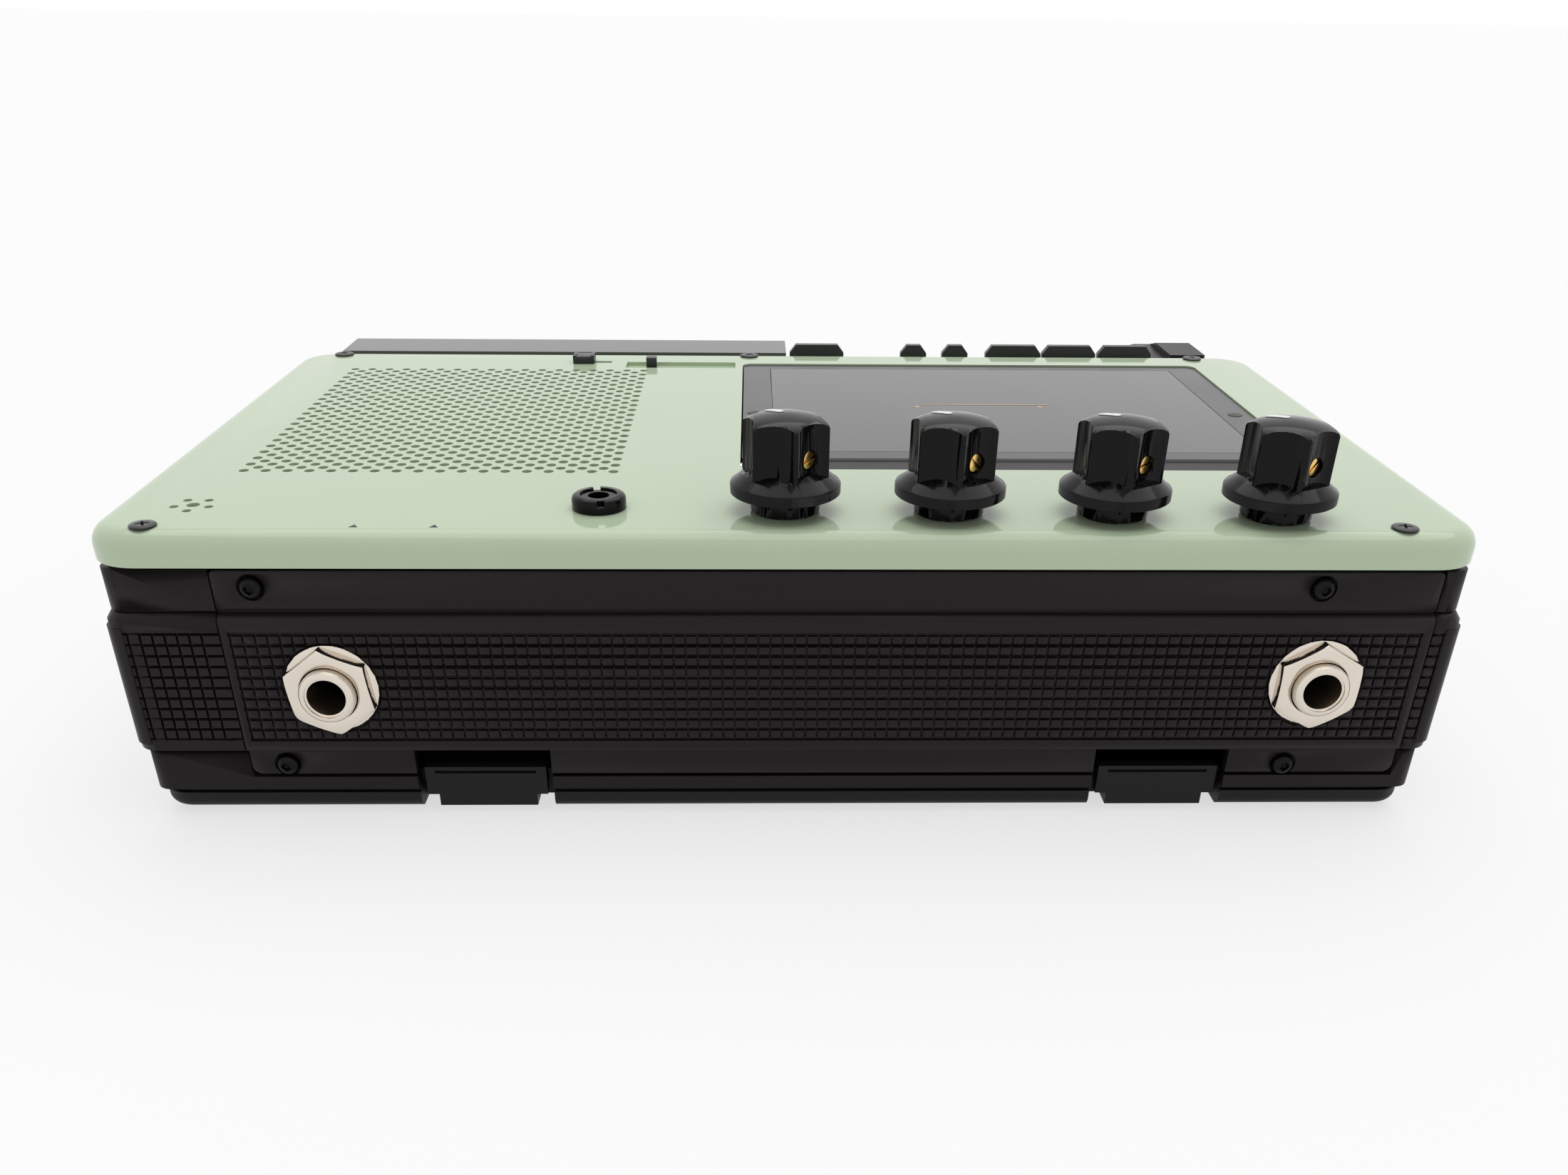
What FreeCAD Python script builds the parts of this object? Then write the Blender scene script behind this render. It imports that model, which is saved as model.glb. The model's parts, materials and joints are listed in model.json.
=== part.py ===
"""Tape echo unit: a portable cassette recorder body rebuilt as a cassette echo.

Millimetres. X runs along the long side, Y runs from the jack side to the key side, Z is up.
The origin is on the table, under the middle of the body.
"""
import FreeCAD, Part
import math
import os
import re
import Sketcher

Vector = FreeCAD.Vector
Rotation = FreeCAD.Rotation

doc = FreeCAD.newDocument("TapeEcho")

# Driving dimensions
SIZES = [
    # green top panel
    ("panel_width", 231.0),
    ("panel_near", -80.8),
    ("panel_far", 51.2),
    ("panel_top", 53.2),
    ("panel_edge", 5.6),
    ("panel_sheet", 2.0),
    ("panel_wall", 3.5),
    ("panel_corner", 9.0),
    ("panel_rounding", 3.4),
    # black case with the grooved belt
    ("case_width", 227.4),
    ("case_near", -79.3),
    ("case_far", 82.9),
    ("case_bottom", 5.4),
    ("case_shoulder", 46.7),
    ("case_wall", 2.2),
    ("case_corner_near", 3.0),
    ("case_corner_far", 9.0),
    ("rim_inset", 1.1),
    ("belt_proud", 1.0),
    ("belt_bottom", 13.8),
    ("belt_top", 37.8),
    ("belt_slope", 1.4),
    ("groove_top", 35.8),
    ("groove_pitch", 1.98),
    ("groove_count", 11),
    ("groove_width", 0.55),
    ("groove_depth", 0.6),
    ("seam_line", 0.45),
    ("deck_top", 40.4),
    ("deck_sheet", 2.0),
    ("bay_wall_far", 50.3),
    # service plate with the jacks
    ("plate_left", -95.3),
    ("plate_right", 109.0),
    ("plate_bottom", 8.6),
    ("plate_gap", 0.25),
    ("plate_foot_gap", 0.7),
    ("plate_screw_x", 89.0),
    ("plate_screw_low", 10.2),
    ("plate_screw_high", 43.7),
    ("input_x", 91.1),
    ("input_z", 26.6),
    ("output_x", -78.6),
    ("output_z", 25.6),
    ("jack_bushing", 4.75),
    ("jack_bore", 3.25),
    ("jack_reach", 4.6),
    ("jack_nut_flat", 12.6),
    ("input_nut_turn", 30),
    ("output_nut_turn", 14),
    ("jack_nut_thick", 2.3),
    ("jack_washer", 8.0),
    ("jack_washer_thick", 0.6),
    ("jack_body_depth", 24.0),
    ("jack_body_width", 15.0),
    ("hole_clearance", 0.15),
    # bottom cover, latches, feet, battery door
    ("cover_bottom", 1.0),
    ("cover_top", 4.4),
    ("cover_inset", 0.5),
    ("cover_floor", 2.0),
    ("cover_rounding", 2.0),
    ("cover_corner", 5.0),
    ("notch_width", 24.0),
    ("notch_left", -54.5),
    ("notch_right", 66.8),
    ("notch_top", 13.5),
    ("notch_depth", 6.0),
    ("tab_width", 21.6),
    ("tab_top", 9.4),
    ("tab_bottom", 3.8),
    ("tab_thick", 2.0),
    ("foot_radius", 5.0),
    ("foot_inset", 14.0),
    ("door_gap", 0.3),
    # speaker side
    ("grille_left", -98.9),
    ("grille_near", -46.4),
    ("grille_pitch", 3.94),
    ("grille_columns", 18),
    ("grille_rows", 21),
    ("grille_step", 2),
    ("grille_hole", 3.6),
    ("grille_margin", 4.0),
    ("speaker_radius", 33.0),
    ("magnet_radius", 16.0),
    ("speaker_depth", 13.0),
    ("mic_x", -101.0),
    ("mic_y", -65.9),
    ("mic_hole", 1.1),
    ("mic_ring", 3.05),
    ("mic_small", 0.75),
    ("mic_radius", 4.8),
    ("mic_depth", 6.0),
    # panel screws
    ("screw_head", 2.9),
    ("screw_head_rise", 0.5),
    ("screw_shank", 1.4),
    ("screw_left", -105.2),
    ("screw_right", 101.4),
    ("screw_near", -76.7),
    ("screw_far", 47.0),
    ("screw_middle_x", -7.3),
    ("screw_middle_y", 47.7),
    # knobs
    ("knob_x", -1.0),
    ("knob_y", -67.6),
    ("knob_pitch", 27.65),
    ("knob_row_slant", -0.8),
    ("knob_collar", 5.85),
    ("knob_collar_height", 3.2),
    ("knob_skirt", 9.3),
    ("knob_skirt_edge", 1.9),
    ("knob_cone", 1.3),
    ("knob_body", 7.4),
    ("knob_body_height", 8.0),
    ("knob_dome", 1.9),
    ("knob_flutes", 6),
    ("knob_sides", 24),
    ("knob_edge_step", 0.2),
    ("dome_wide", 0.62),
    ("dome_flat", 0.2),
    ("flute_depth", 1.7),
    ("flute_curve", 0.35),
    ("flute_turn", -42.5),
    ("flute_turn_step", -3.0),
    ("pot_shaft", 3.0),
    ("pot_bushing", 3.5),
    ("running_gap", 0.08),
    ("turning_gap", 0.14),
    ("pin_seat", 0.05),
    ("seat_gap", 0.1),
    ("set_screw_radius", 1.5),
    ("set_screw_height", 9.6),
    ("pot_radius", 6.8),
    ("pot_depth", 8.0),
    # small control jack
    ("cv_x", -32.5),
    ("cv_y", -66.6),
    ("cv_ring", 4.6),
    ("cv_ring_height", 2.4),
    ("cv_bushing", 3.0),
    ("cv_bore", 1.8),
    # slide switches
    ("switch_one_x", -46.6),
    ("switch_one_y", 41.0),
    ("switch_one_width", 5.0),
    ("switch_one_deep", 4.4),
    ("switch_one_travel", 4.0),
    ("switch_two_x", -30.4),
    ("switch_two_y", 38.0),
    ("switch_two_width", 2.4),
    ("switch_two_deep", 2.4),
    ("switch_two_travel", 15.0),
    ("switch_rise", 1.9),
    ("slot_deep", 1.6),
    ("recess_left", -36.4),
    ("recess_right", -10.6),
    ("recess_near", 35.3),
    ("recess_far", 41.1),
    ("recess_depth", 0.8),
    # cassette door
    ("bay_left", -8.8),
    ("bay_right", 99.6),
    ("bay_near", -44.6),
    ("bay_far", 40.0),
    ("door_near", -36.5),
    ("door_thick", 3.0),
    ("hinge_inset", 2.2),
    ("door_drop", 0.3),
    ("window_left", -2.3),
    ("window_right", 92.7),
    ("window_near", -32.1),
    ("window_far", 36.3),
    ("window_thick", 2.0),
    ("door_screw_y", -3.7),
    ("hinge_radius", 1.0),
    ("hinge_z", 50.2),
    # cassette well and tape drive
    ("well_floor", 35.0),
    ("well_sheet", 1.5),
    ("hub_spacing", 42.5),
    ("hub_y", 0.2),
    ("hub_radius", 4.6),
    ("hub_disc", 13.0),
    ("hub_top", 46.0),
    ("spindle_shaft", 1.5),
    ("capstan_x", 70.5),
    ("capstan_y", 23.2),
    ("capstan_radius", 1.25),
    ("flywheel_radius", 21.0),
    ("flywheel_bottom", 22.0),
    ("flywheel_thick", 5.0),
    ("pinch_radius", 5.2),
    ("pinch_y", 34.1),
    ("pinch_arm_length", 15.5),
    ("motor_x", 20.0),
    ("motor_y", 6.7),
    ("motor_radius", 15.0),
    ("motor_height", 16.0),
    ("pulley_radius", 5.0),
    ("belt_thick", 1.2),
    ("belt_high", 2.0),
    # battery box and board
    ("cell_radius", 13.1),
    ("cell_length", 50.0),
    ("cell_count", 3),
    ("cells_left", -104.0),
    ("cells_near", -8.3),
    ("box_wall", 1.5),
    ("board_bottom", 8.0),
    ("board_sheet", 1.6),
    # key side
    ("strip_left", -106.8),
    ("strip_right", 1.8),
    ("strip_flat", 14.5),
    ("strip_far_drop", 4.4),
    ("block_left", 97.4),
    ("block_right", 106.0),
    ("key_gap", 0.6),
    ("key_pitch", 13.9),
    ("key_first", 92.9),
    ("key_nib_rise", 1.9),
    ("key_nib_side", 1.5),
    ("key_front", 83.9),
    ("key_top", 51.4),
    ("key_front_top", 44.6),
    ("key_bottom", 48.2),
    ("key_front_bottom", 42.5),
    ("key_shaft", 1.0),
    ("key_axis_y", 54.7),
    ("key_axis_z", 49.8),
]

sheet = doc.addObject("Spreadsheet::Sheet", "Sizes")
size = {}
for row, (alias, number) in enumerate(SIZES, start=1):
    sheet.set("A%d" % row, alias)
    sheet.set("B%d" % row, str(number))
    sheet.setAlias("B%d" % row, alias)
    size[alias] = number
doc.recompute()


def bound(text):
    """Turn plain size names into references to the sheet."""
    def swap(match):
        word = match.group(0)
        return "Sizes." + word if word in size else word
    return re.sub(r"[a-z][a-z_0-9]+", swap, str(text))


def place(thing, x, y, z):
    """Bind the base point of a placement."""
    thing.setExpression(".Placement.Base.x", bound(x))
    thing.setExpression(".Placement.Base.y", bound(y))
    thing.setExpression(".Placement.Base.z", bound(z))
    return thing


TURNS = {
    "z": Rotation(),
    "y": Rotation(Vector(1, 0, 0), -90),
    "x": Rotation(Vector(0, 1, 0), 90),
}


def box(name, x, y, z, along, deep, high):
    """A block from its low corner."""
    thing = doc.addObject("Part::Box", name)
    thing.setExpression("Length", bound(along))
    thing.setExpression("Width", bound(deep))
    thing.setExpression("Height", bound(high))
    return place(thing, x, y, z)


def rod(name, x, y, z, radius, length, axis="z"):
    """A round bar that starts at its base point and runs along the axis."""
    thing = doc.addObject("Part::Cylinder", name)
    thing.Placement.Rotation = TURNS[axis]
    thing.setExpression("Radius", bound(radius))
    thing.setExpression("Height", bound(length))
    return place(thing, x, y, z)


def prism(name, x, y, z, sides, radius, length, axis="z"):
    """A regular prism, its radius measured to the corners."""
    thing = doc.addObject("Part::Prism", name)
    thing.Placement.Rotation = TURNS[axis]
    thing.Polygon = sides
    thing.setExpression("Circumradius", bound(radius))
    thing.setExpression("Height", bound(length))
    return place(thing, x, y, z)


def bar(name, x, y, z, radius, length, axis="z", sides=12):
    """A bar with many flat sides, for round pieces that need no true circle."""
    return prism(name, x, y, z, sides, radius, length, axis)


def fuse(name, *parts):
    """Join solids that touch or overlap into one."""
    thing = doc.addObject("Part::MultiFuse", name)
    thing.Shapes = list(parts)
    thing.Refine = True
    return thing


def group(name, *parts):
    """Keep separate solids together in one node."""
    thing = doc.addObject("Part::Compound", name)
    thing.Links = list(parts)
    return thing


def cut(name, base, *tools):
    """Take the tools away from the base."""
    thing = doc.addObject("Part::Cut", name)
    thing.Base = base
    thing.Tool = tools[0] if len(tools) == 1 else fuse(name + "_tools", *tools)
    thing.Refine = True
    return thing


def feature(name, shape):
    """A piece whose shape is worked out from the sheet by code."""
    thing = doc.addObject("Part::Feature", name)
    thing.Shape = shape
    return thing


def rounded(name, base, radius, choose):
    """Round the edges that choose() picks, by one size from the sheet."""
    doc.recompute()
    thing = doc.addObject("Part::Fillet", name)
    thing.Base = base
    picked = []
    for index, edge in enumerate(base.Shape.Edges, start=1):
        if choose(edge):
            picked.append((index, size[radius], size[radius]))
    thing.Edges = picked
    return thing


def upright(edge):
    """True for a straight edge along Z."""
    box_of = edge.BoundBox
    return box_of.XLength < 1e-6 and box_of.YLength < 1e-6


def level_at(height):
    """Edges that lie flat at one height."""
    def choose(edge):
        box_of = edge.BoundBox
        return abs(box_of.ZMin - height) < 1e-6 and abs(box_of.ZMax - height) < 1e-6
    return choose


def plane_of(body, role):
    """One of the body's own origin planes or axes."""
    for part in body.Origin.OriginFeatures:
        if part.Role == role:
            return part
    return None


def outline(body, name, role, points):
    """A closed sketch of straight lines, each corner bound to the sheet."""
    sketch = body.newObject("Sketcher::SketchObject", name)
    sketch.AttachmentSupport = [(plane_of(body, role), "")]
    sketch.MapMode = "FlatFace"
    count = len(points)
    start = [Vector(math.cos(2 * math.pi * i / count), math.sin(2 * math.pi * i / count), 0)
             for i in range(count)]
    lines = [Part.LineSegment(start[i], start[(i + 1) % count]) for i in range(count)]
    sketch.addGeometry(lines, False)
    for i in range(count):
        sketch.addConstraint(Sketcher.Constraint("Coincident", i, 2, (i + 1) % count, 1))
    for i, (across, up) in enumerate(points):
        for kind, text in (("DistanceX", across), ("DistanceY", up)):
            index = sketch.addConstraint(Sketcher.Constraint(kind, -1, 1, i, 1, 1.0))
            sketch.setExpression("Constraints[%d]" % index, bound(text))
    return sketch


def extruded(name, role, points, length):
    """A body made by padding a profile evenly to both sides of its plane."""
    body = doc.addObject("PartDesign::Body", name)
    sketch = outline(body, name + "_profile", role, points)
    doc.recompute()
    pad = body.newObject("PartDesign::Pad", name + "_pad")
    pad.Profile = sketch
    pad.Midplane = True
    pad.setExpression("Length", bound(length))
    return body


PARTS = []


def node(thing, label):
    """Give a finished piece its name and put it on the list of pieces."""
    thing.Label = label
    PARTS.append(thing)
    return thing


# Sizes that follow from the driving ones
panel_half = size["panel_width"] / 2
case_half = size["case_width"] / 2
panel_under = size["panel_top"] - size["panel_sheet"]


# Case wall: one moulded section carried round the body
def belt_section(low, high, reach):
    """Half section of the wall as (outward, up) points, from low to high, closed at reach."""
    proud = size["belt_proud"]
    line = size["seam_line"]
    points = [(-reach, low), (0, low)]
    if low < size["belt_bottom"] - 2 * line:
        points += [(0, size["belt_bottom"] - 2 * line), (-line, size["belt_bottom"] - 2 * line)]
    points += [(-line, size["belt_bottom"]), (proud, size["belt_bottom"])]
    for i in reversed(range(int(size["groove_count"]))):
        middle = size["groove_top"] - i * size["groove_pitch"]
        for out, up in ((0, -0.5), (1, 0), (0, 0.5)):
            points.append((proud - out * size["groove_depth"], middle + up * size["groove_width"]))
    points += [(proud, size["belt_top"]), (0, size["belt_top"] + size["belt_slope"])]
    points += [(-line, size["belt_top"] + size["belt_slope"])]
    points += [(-line, size["belt_top"] + size["belt_slope"] + line)]
    points += [(0, size["belt_top"] + size["belt_slope"] + line), (0, high), (-reach, high)]
    return points


def wall_ring(points):
    """Carry a wall section round the plan of the body, with round corners."""
    near, far = size["case_near"], size["case_far"]
    corners = [(-1, -1, size["case_corner_near"]), (1, -1, size["case_corner_near"]),
               (1, 1, size["case_corner_far"]), (-1, 1, size["case_corner_far"])]
    centres = []
    for side_x, side_y, radius in corners:
        edge_y = near if side_y < 0 else far
        centres.append(Vector(side_x * (case_half - radius), edge_y - side_y * radius, 0))
    pieces = []
    for i in range(4):
        radius = corners[i][2]
        heading = Rotation(Vector(0, 0, 1), 90 * i)
        outward = heading.multVec(Vector(0, -1, 0))
        forward = heading.multVec(Vector(1, 0, 0))
        after = centres[(i + 1) % 4] - centres[i]
        length = after.dot(forward)
        profile = Part.makePolygon([centres[i] + outward * (radius + p[0]) + Vector(0, 0, p[1])
                                    for p in points + points[:1]])
        face = Part.Face(profile)
        pieces.append(face.extrude(forward * length))
        pieces.append(face.revolve(centres[i], Vector(0, 0, 1), -90))
    return pieces[0].multiFuse(pieces[1:]).removeSplitter()


section = belt_section(size["case_bottom"], size["case_shoulder"], size["case_wall"])
wall = feature("case_wall_ring", wall_ring(section))
rim_section = [(-size["case_wall"], size["case_shoulder"] - size["seam_line"]),
               (-size["rim_inset"], size["case_shoulder"] - size["seam_line"]),
               (-size["rim_inset"], size["panel_top"] - size["panel_edge"]),
               (-size["case_wall"], size["panel_top"] - size["panel_edge"])]
rim = feature("case_rim_ring", wall_ring(rim_section))
deck = box("case_deck", "-case_width/2+case_wall/2", "bay_wall_far-case_wall", "deck_top",
           "case_width-case_wall", "case_far-case_wall/2-bay_wall_far+case_wall", "deck_sheet")
deck.setExpression(".Placement.Base.z", bound("deck_top-deck_sheet"))
bay_wall = box("case_bay_wall", "-case_width/2+case_wall/2", "bay_wall_far-case_wall", "case_bottom+10",
               "case_width-case_wall", "case_wall", "panel_top-panel_edge-case_bottom-10")
deck_round = rounded("case_deck_round", deck, "case_corner_far",
                     lambda edge: upright(edge) and edge.BoundBox.YMin > size["bay_wall_far"])
pillars = [box("plate_pillar_left", "plate_left-2.5", "case_near+case_wall", "case_bottom", "6", "2.5",
               "case_shoulder-case_bottom"),
           box("plate_pillar_right", "plate_right-2", "case_near+case_wall", "case_bottom", "4.2", "2.5",
               "case_shoulder-case_bottom")]
plate_opening = box("plate_opening", "plate_left-plate_gap", "case_near-2*belt_proud",
                    "plate_bottom-plate_foot_gap", "plate_right-plate_left+2*plate_gap",
                    "case_wall+2*belt_proud", "case_shoulder+5-plate_bottom")
notches = [box("notch_%s_cut" % side, "notch_%s-notch_width/2" % side, "case_near-2*belt_proud",
               "case_bottom-1", "notch_width", "case_wall+2*belt_proud+0.1", "notch_top-case_bottom+1")
           for side in ("left", "right")]
sill_high = "plate_bottom-plate_foot_gap-case_bottom"
sill = box("case_sill", "plate_left-2.5", "case_near+0.8+tab_thick+0.3", "case_bottom",
           "plate_right-plate_left+4.7", "2.5", sill_high)
sill_joint = box("case_sill_joint", "notch_left+notch_width/2", "case_near+case_wall-0.5", "case_bottom",
                 "notch_right-notch_left-notch_width", "2", sill_high)
rim_end = box("rim_end", "-case_width/2", "panel_far+0.3", "case_shoulder", "case_width", "case_far", "10")
key_opening = box("key_opening", "strip_right+0.2", "bay_wall_far", "deck_top", "key_first-strip_right+0.2",
                  "case_far", "20")
case_solid = fuse("case_solid", wall, cut("rim_open", rim, rim_end), deck_round, bay_wall)
case_open = cut("case_open", case_solid, plate_opening, key_opening, *notches)
node(fuse("main_case_body", case_open, sill, sill_joint, *pillars), "main_case")


# Service plate: the same section, flat, with holes for the jacks
plate_points = belt_section(size["plate_bottom"], size["case_shoulder"] - 0.1, size["case_wall"])
plate_face = Part.Face(Part.makePolygon([Vector(size["plate_left"], size["case_near"] - p[0], p[1])
                                         for p in plate_points + plate_points[:1]]))
plate_blank = feature("plate_blank", plate_face.extrude(Vector(size["plate_right"] - size["plate_left"], 0, 0)))
jack_holes = [bar("%s_hole" % name, "%s_x" % name, "case_near-2*belt_proud", "%s_z" % name,
                  "jack_bushing+hole_clearance", "case_wall+3*belt_proud", "y", sides=16) for name in ("input", "output")]
jack_pads = [bar("%s_pad" % name, "%s_x" % name, "case_near-2*belt_proud", "%s_z" % name,
                 "jack_washer+0.4", "belt_proud*2", "y", sides=20) for name in ("input", "output")]
plate_notches = [box("plate_notch_%s" % side, "notch_%s-notch_width/2" % side, "case_near-2*belt_proud",
                     "plate_bottom-1", "notch_width", "case_wall+3*belt_proud", "notch_top-plate_bottom+1")
                 for side in ("left", "right")]
plate_screw_spots = [("-plate_screw_x", "plate_screw_low+0.3"), ("plate_screw_x", "plate_screw_low"),
                     ("-plate_screw_x", "plate_screw_high"), ("plate_screw_x", "plate_screw_high")]
plate_screw_holes = [bar("plate_screw_hole_%d" % i, x, "case_near-2", z, "screw_shank+hole_clearance",
                         "case_wall+4", "y", sides=8) for i, (x, z) in enumerate(plate_screw_spots)]
node(cut("service_plate_body", plate_blank, *jack_holes, *jack_pads, *plate_notches, *plate_screw_holes),
     "service_plate")

plate_screws = []
for i, (x, z) in enumerate(plate_screw_spots):
    head = bar("plate_screw_head_%d" % i, x, "case_near-screw_head_rise*2.4", z, "screw_head*0.9",
               "screw_head_rise*2.4", "y")
    shank = bar("plate_screw_shank_%d" % i, x, "case_near", z, "screw_shank", "case_wall", "y", sides=8)
    plate_screws.append(fuse("plate_screw_%d" % i, head, shank))


# Quarter inch jacks
def jack(name):
    """Bushing through the plate, body behind it, with the plug bore right through the bushing."""
    body = box("%s_body" % name, "%s_x-jack_body_width/2" % name, "case_near+case_wall",
               "%s_z-jack_body_width/2" % name, "jack_body_width", "jack_body_depth", "jack_body_width")
    bushing = rod("%s_bushing" % name, "%s_x" % name, "case_near-jack_reach", "%s_z" % name,
                  "jack_bushing", "jack_reach+case_wall+1", "y")
    bore = rod("%s_bore" % name, "%s_x" % name, "case_near-jack_reach-1", "%s_z" % name, "jack_bore",
               "jack_reach+case_wall+jack_body_depth-2", "y")
    return cut("%s_jack_body" % name, fuse("%s_joined" % name, body, bushing), bore)


node(jack("input"), "input_jack")
node(jack("output"), "output_jack")
washers = []
nuts = []
for name in ("input", "output"):
    for kind, radius, start, thick, made in (
            ("washer", "jack_washer", "case_near-jack_washer_thick", "jack_washer_thick", washers),
            ("nut", None, "case_near-jack_washer_thick-jack_nut_thick", "jack_nut_thick", nuts)):
        if radius:
            blank = bar("%s_%s_blank" % (name, kind), name + "_x", start, name + "_z", radius, thick, "y", sides=20)
        else:
            blank = prism("%s_%s_blank" % (name, kind), name + "_x", start, name + "_z", 6,
                          "jack_nut_flat/1.732", thick, "y")
            blank.Placement.Rotation = TURNS["y"].multiply(Rotation(Vector(0, 0, 1), size[name + "_nut_turn"]))
        bore = bar("%s_%s_bore" % (name, kind), name + "_x", start + "-1", name + "_z",
                   "jack_bushing+running_gap", thick + "+2", "y", sides=20)
        made.append(cut("%s_%s" % (name, kind), blank, bore))
node(group("jack_washer_set", *washers), "jack_washers")
node(group("jack_nut_set", *nuts), "jack_nuts")


# Top panel: a painted lid with a turned down edge
panel_blank = box("panel_blank", "-panel_width/2", "panel_near", "panel_top-panel_edge",
                  "panel_width", "panel_far-panel_near", "panel_edge")
panel_corners = rounded("panel_corners", panel_blank, "panel_corner", upright)
panel_outer = rounded("panel_outer", panel_corners, "panel_rounding", level_at(size["panel_top"]))
panel_inner = box("panel_inner", "-panel_width/2+panel_wall", "panel_near+panel_wall",
                  "panel_top-panel_edge-1", "panel_width-2*panel_wall", "panel_far-panel_near-2*panel_wall",
                  "panel_edge-panel_sheet+1")
grille_hole = box("grille_opening", "grille_left-grille_margin", "grille_near-grille_margin", "panel_top-panel_edge",
                  "(grille_columns-1)*grille_pitch+2*grille_margin",
                  "(grille_rows-1)*grille_pitch+2*grille_margin", "panel_edge+1")
bay_hole = box("bay_opening", "bay_left", "bay_near", "panel_top-panel_edge", "bay_right-bay_left",
               "bay_far-bay_near", "panel_edge+1")
panel_tools = [panel_inner, grille_hole, bay_hole]
panel_tools.append(box("recess_cut", "recess_left", "recess_near", "panel_top-recess_depth",
                       "recess_right-recess_left", "recess_far-recess_near", "recess_depth+1"))
panel_tools.append(box("switch_one_slot", "switch_one_x-switch_one_width/2", "switch_one_y-slot_deep/2",
                       "panel_top-panel_edge", "switch_one_width+switch_one_travel", "slot_deep", "panel_edge+1"))
panel_tools.append(box("switch_two_slot", "switch_two_x-2-switch_two_width/2", "switch_two_y-slot_deep/2",
                       "panel_top-panel_edge", "switch_two_width+switch_two_travel+4", "slot_deep", "panel_edge+1"))
for i in range(4):
    panel_tools.append(bar("knob_hole_%d" % i, "knob_x+%d*knob_pitch" % i, "knob_y+%d*knob_row_slant" % i,
                           "panel_top-panel_edge", "pot_bushing+hole_clearance", "panel_edge+1", sides=16))
panel_tools.append(bar("cv_hole", "cv_x", "cv_y", "panel_top-panel_edge", "cv_bushing+hole_clearance",
                       "panel_edge+1", sides=16))
panel_tools.append(bar("mic_hole_middle", "mic_x", "mic_y", "panel_top-panel_edge", "mic_hole", "panel_edge+1", sides=10))
for i in range(5):
    turn = "%d" % (72 * i - 90)
    panel_tools.append(bar("mic_hole_%d" % i, "mic_x+mic_ring*cos(%s deg)" % turn,
                           "mic_y+mic_ring*sin(%s deg)" % turn, "panel_top-panel_edge", "mic_small",
                           "panel_edge+1", sides=8))
PANEL_SCREWS = [("screw_left", "screw_near"), ("screw_right", "screw_near"), ("screw_left", "screw_far"),
                ("screw_right", "screw_far"), ("screw_middle_x", "screw_middle_y")]
for i, (x, y) in enumerate(PANEL_SCREWS):
    panel_tools.append(bar("panel_screw_hole_%d" % i, x, y, "panel_top-panel_edge",
                           "screw_shank+hole_clearance", "panel_edge+1", sides=8))
node(cut("top_panel_body", panel_outer, *panel_tools), "top_panel")

screws = []
for i, (x, y) in enumerate(PANEL_SCREWS):
    head = bar("panel_screw_head_%d" % i, x, y, "panel_top", "screw_head", "screw_head_rise")
    shank = bar("panel_screw_shank_%d" % i, x, y, "panel_top-panel_edge", "screw_shank", "panel_edge", sides=8)
    screws.append(fuse("panel_screw_%d" % i, head, shank))
node(group("case_screw_set", *(screws + plate_screws)), "case_screws")


# Speaker grille: punched sheet set flush in the panel
grille_blank = box("grille_blank", "grille_left-grille_margin+hole_clearance",
                   "grille_near-grille_margin+hole_clearance", "panel_top-panel_sheet",
                   "(grille_columns-1)*grille_pitch+2*grille_margin-2*hole_clearance",
                   "(grille_rows-1)*grille_pitch+2*grille_margin-2*hole_clearance", "panel_sheet")
doc.recompute()


def grille_holes():
    """Square holes standing on their corners, one for every second hole of the real lattice."""
    pitch = size["grille_pitch"] * size["grille_step"]
    reach = size["grille_hole"] / 2
    columns = int((size["grille_columns"] - 1) // size["grille_step"]) + 1
    rows = int((size["grille_rows"] - 1) // size["grille_step"]) + 1
    holes = []
    for column in range(columns):
        for row in range(rows):
            x = size["grille_left"] + column * pitch
            y = size["grille_near"] + row * pitch
            z = panel_under - 1
            corners = [Vector(x + reach, y, z), Vector(x, y + reach, z), Vector(x - reach, y, z),
                       Vector(x, y - reach, z), Vector(x + reach, y, z)]
            holes.append(Part.Face(Part.makePolygon(corners)).extrude(Vector(0, 0, size["panel_sheet"] + 2)))
    return Part.makeCompound(holes)


node(cut("grille_body", grille_blank, feature("grille_punch", grille_holes())), "speaker_grille")

speaker_x = "grille_left+(grille_columns-1)*grille_pitch/2"
speaker_y = "grille_near+(grille_rows-1)*grille_pitch/2"
node(fuse("speaker_body",
          cut("speaker_basket", bar("speaker_rim", speaker_x, speaker_y, "panel_top-panel_sheet-speaker_depth",
                                    "speaker_radius", "speaker_depth", sides=24),
              bar("speaker_hollow", speaker_x, speaker_y, "panel_top-panel_sheet-speaker_depth/2",
                  "speaker_radius-4", "speaker_depth", sides=24)),
          bar("speaker_magnet", speaker_x, speaker_y, "panel_top-panel_sheet-speaker_depth-6", "magnet_radius", "7",
              sides=16)), "speaker")
node(bar("mic_body", "mic_x", "mic_y", "panel_top-panel_sheet-mic_depth", "mic_radius", "mic_depth"),
     "microphone")


# Knobs: flat-faced blank with flutes round it, a set screw from the side, a bore for the shaft
def ring(radius, height):
    """Corners of a regular outline at one height."""
    sides = int(size["knob_sides"])
    return [Vector(radius * math.cos(2 * math.pi * i / sides), radius * math.sin(2 * math.pi * i / sides), height)
            for i in range(sides)]


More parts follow.
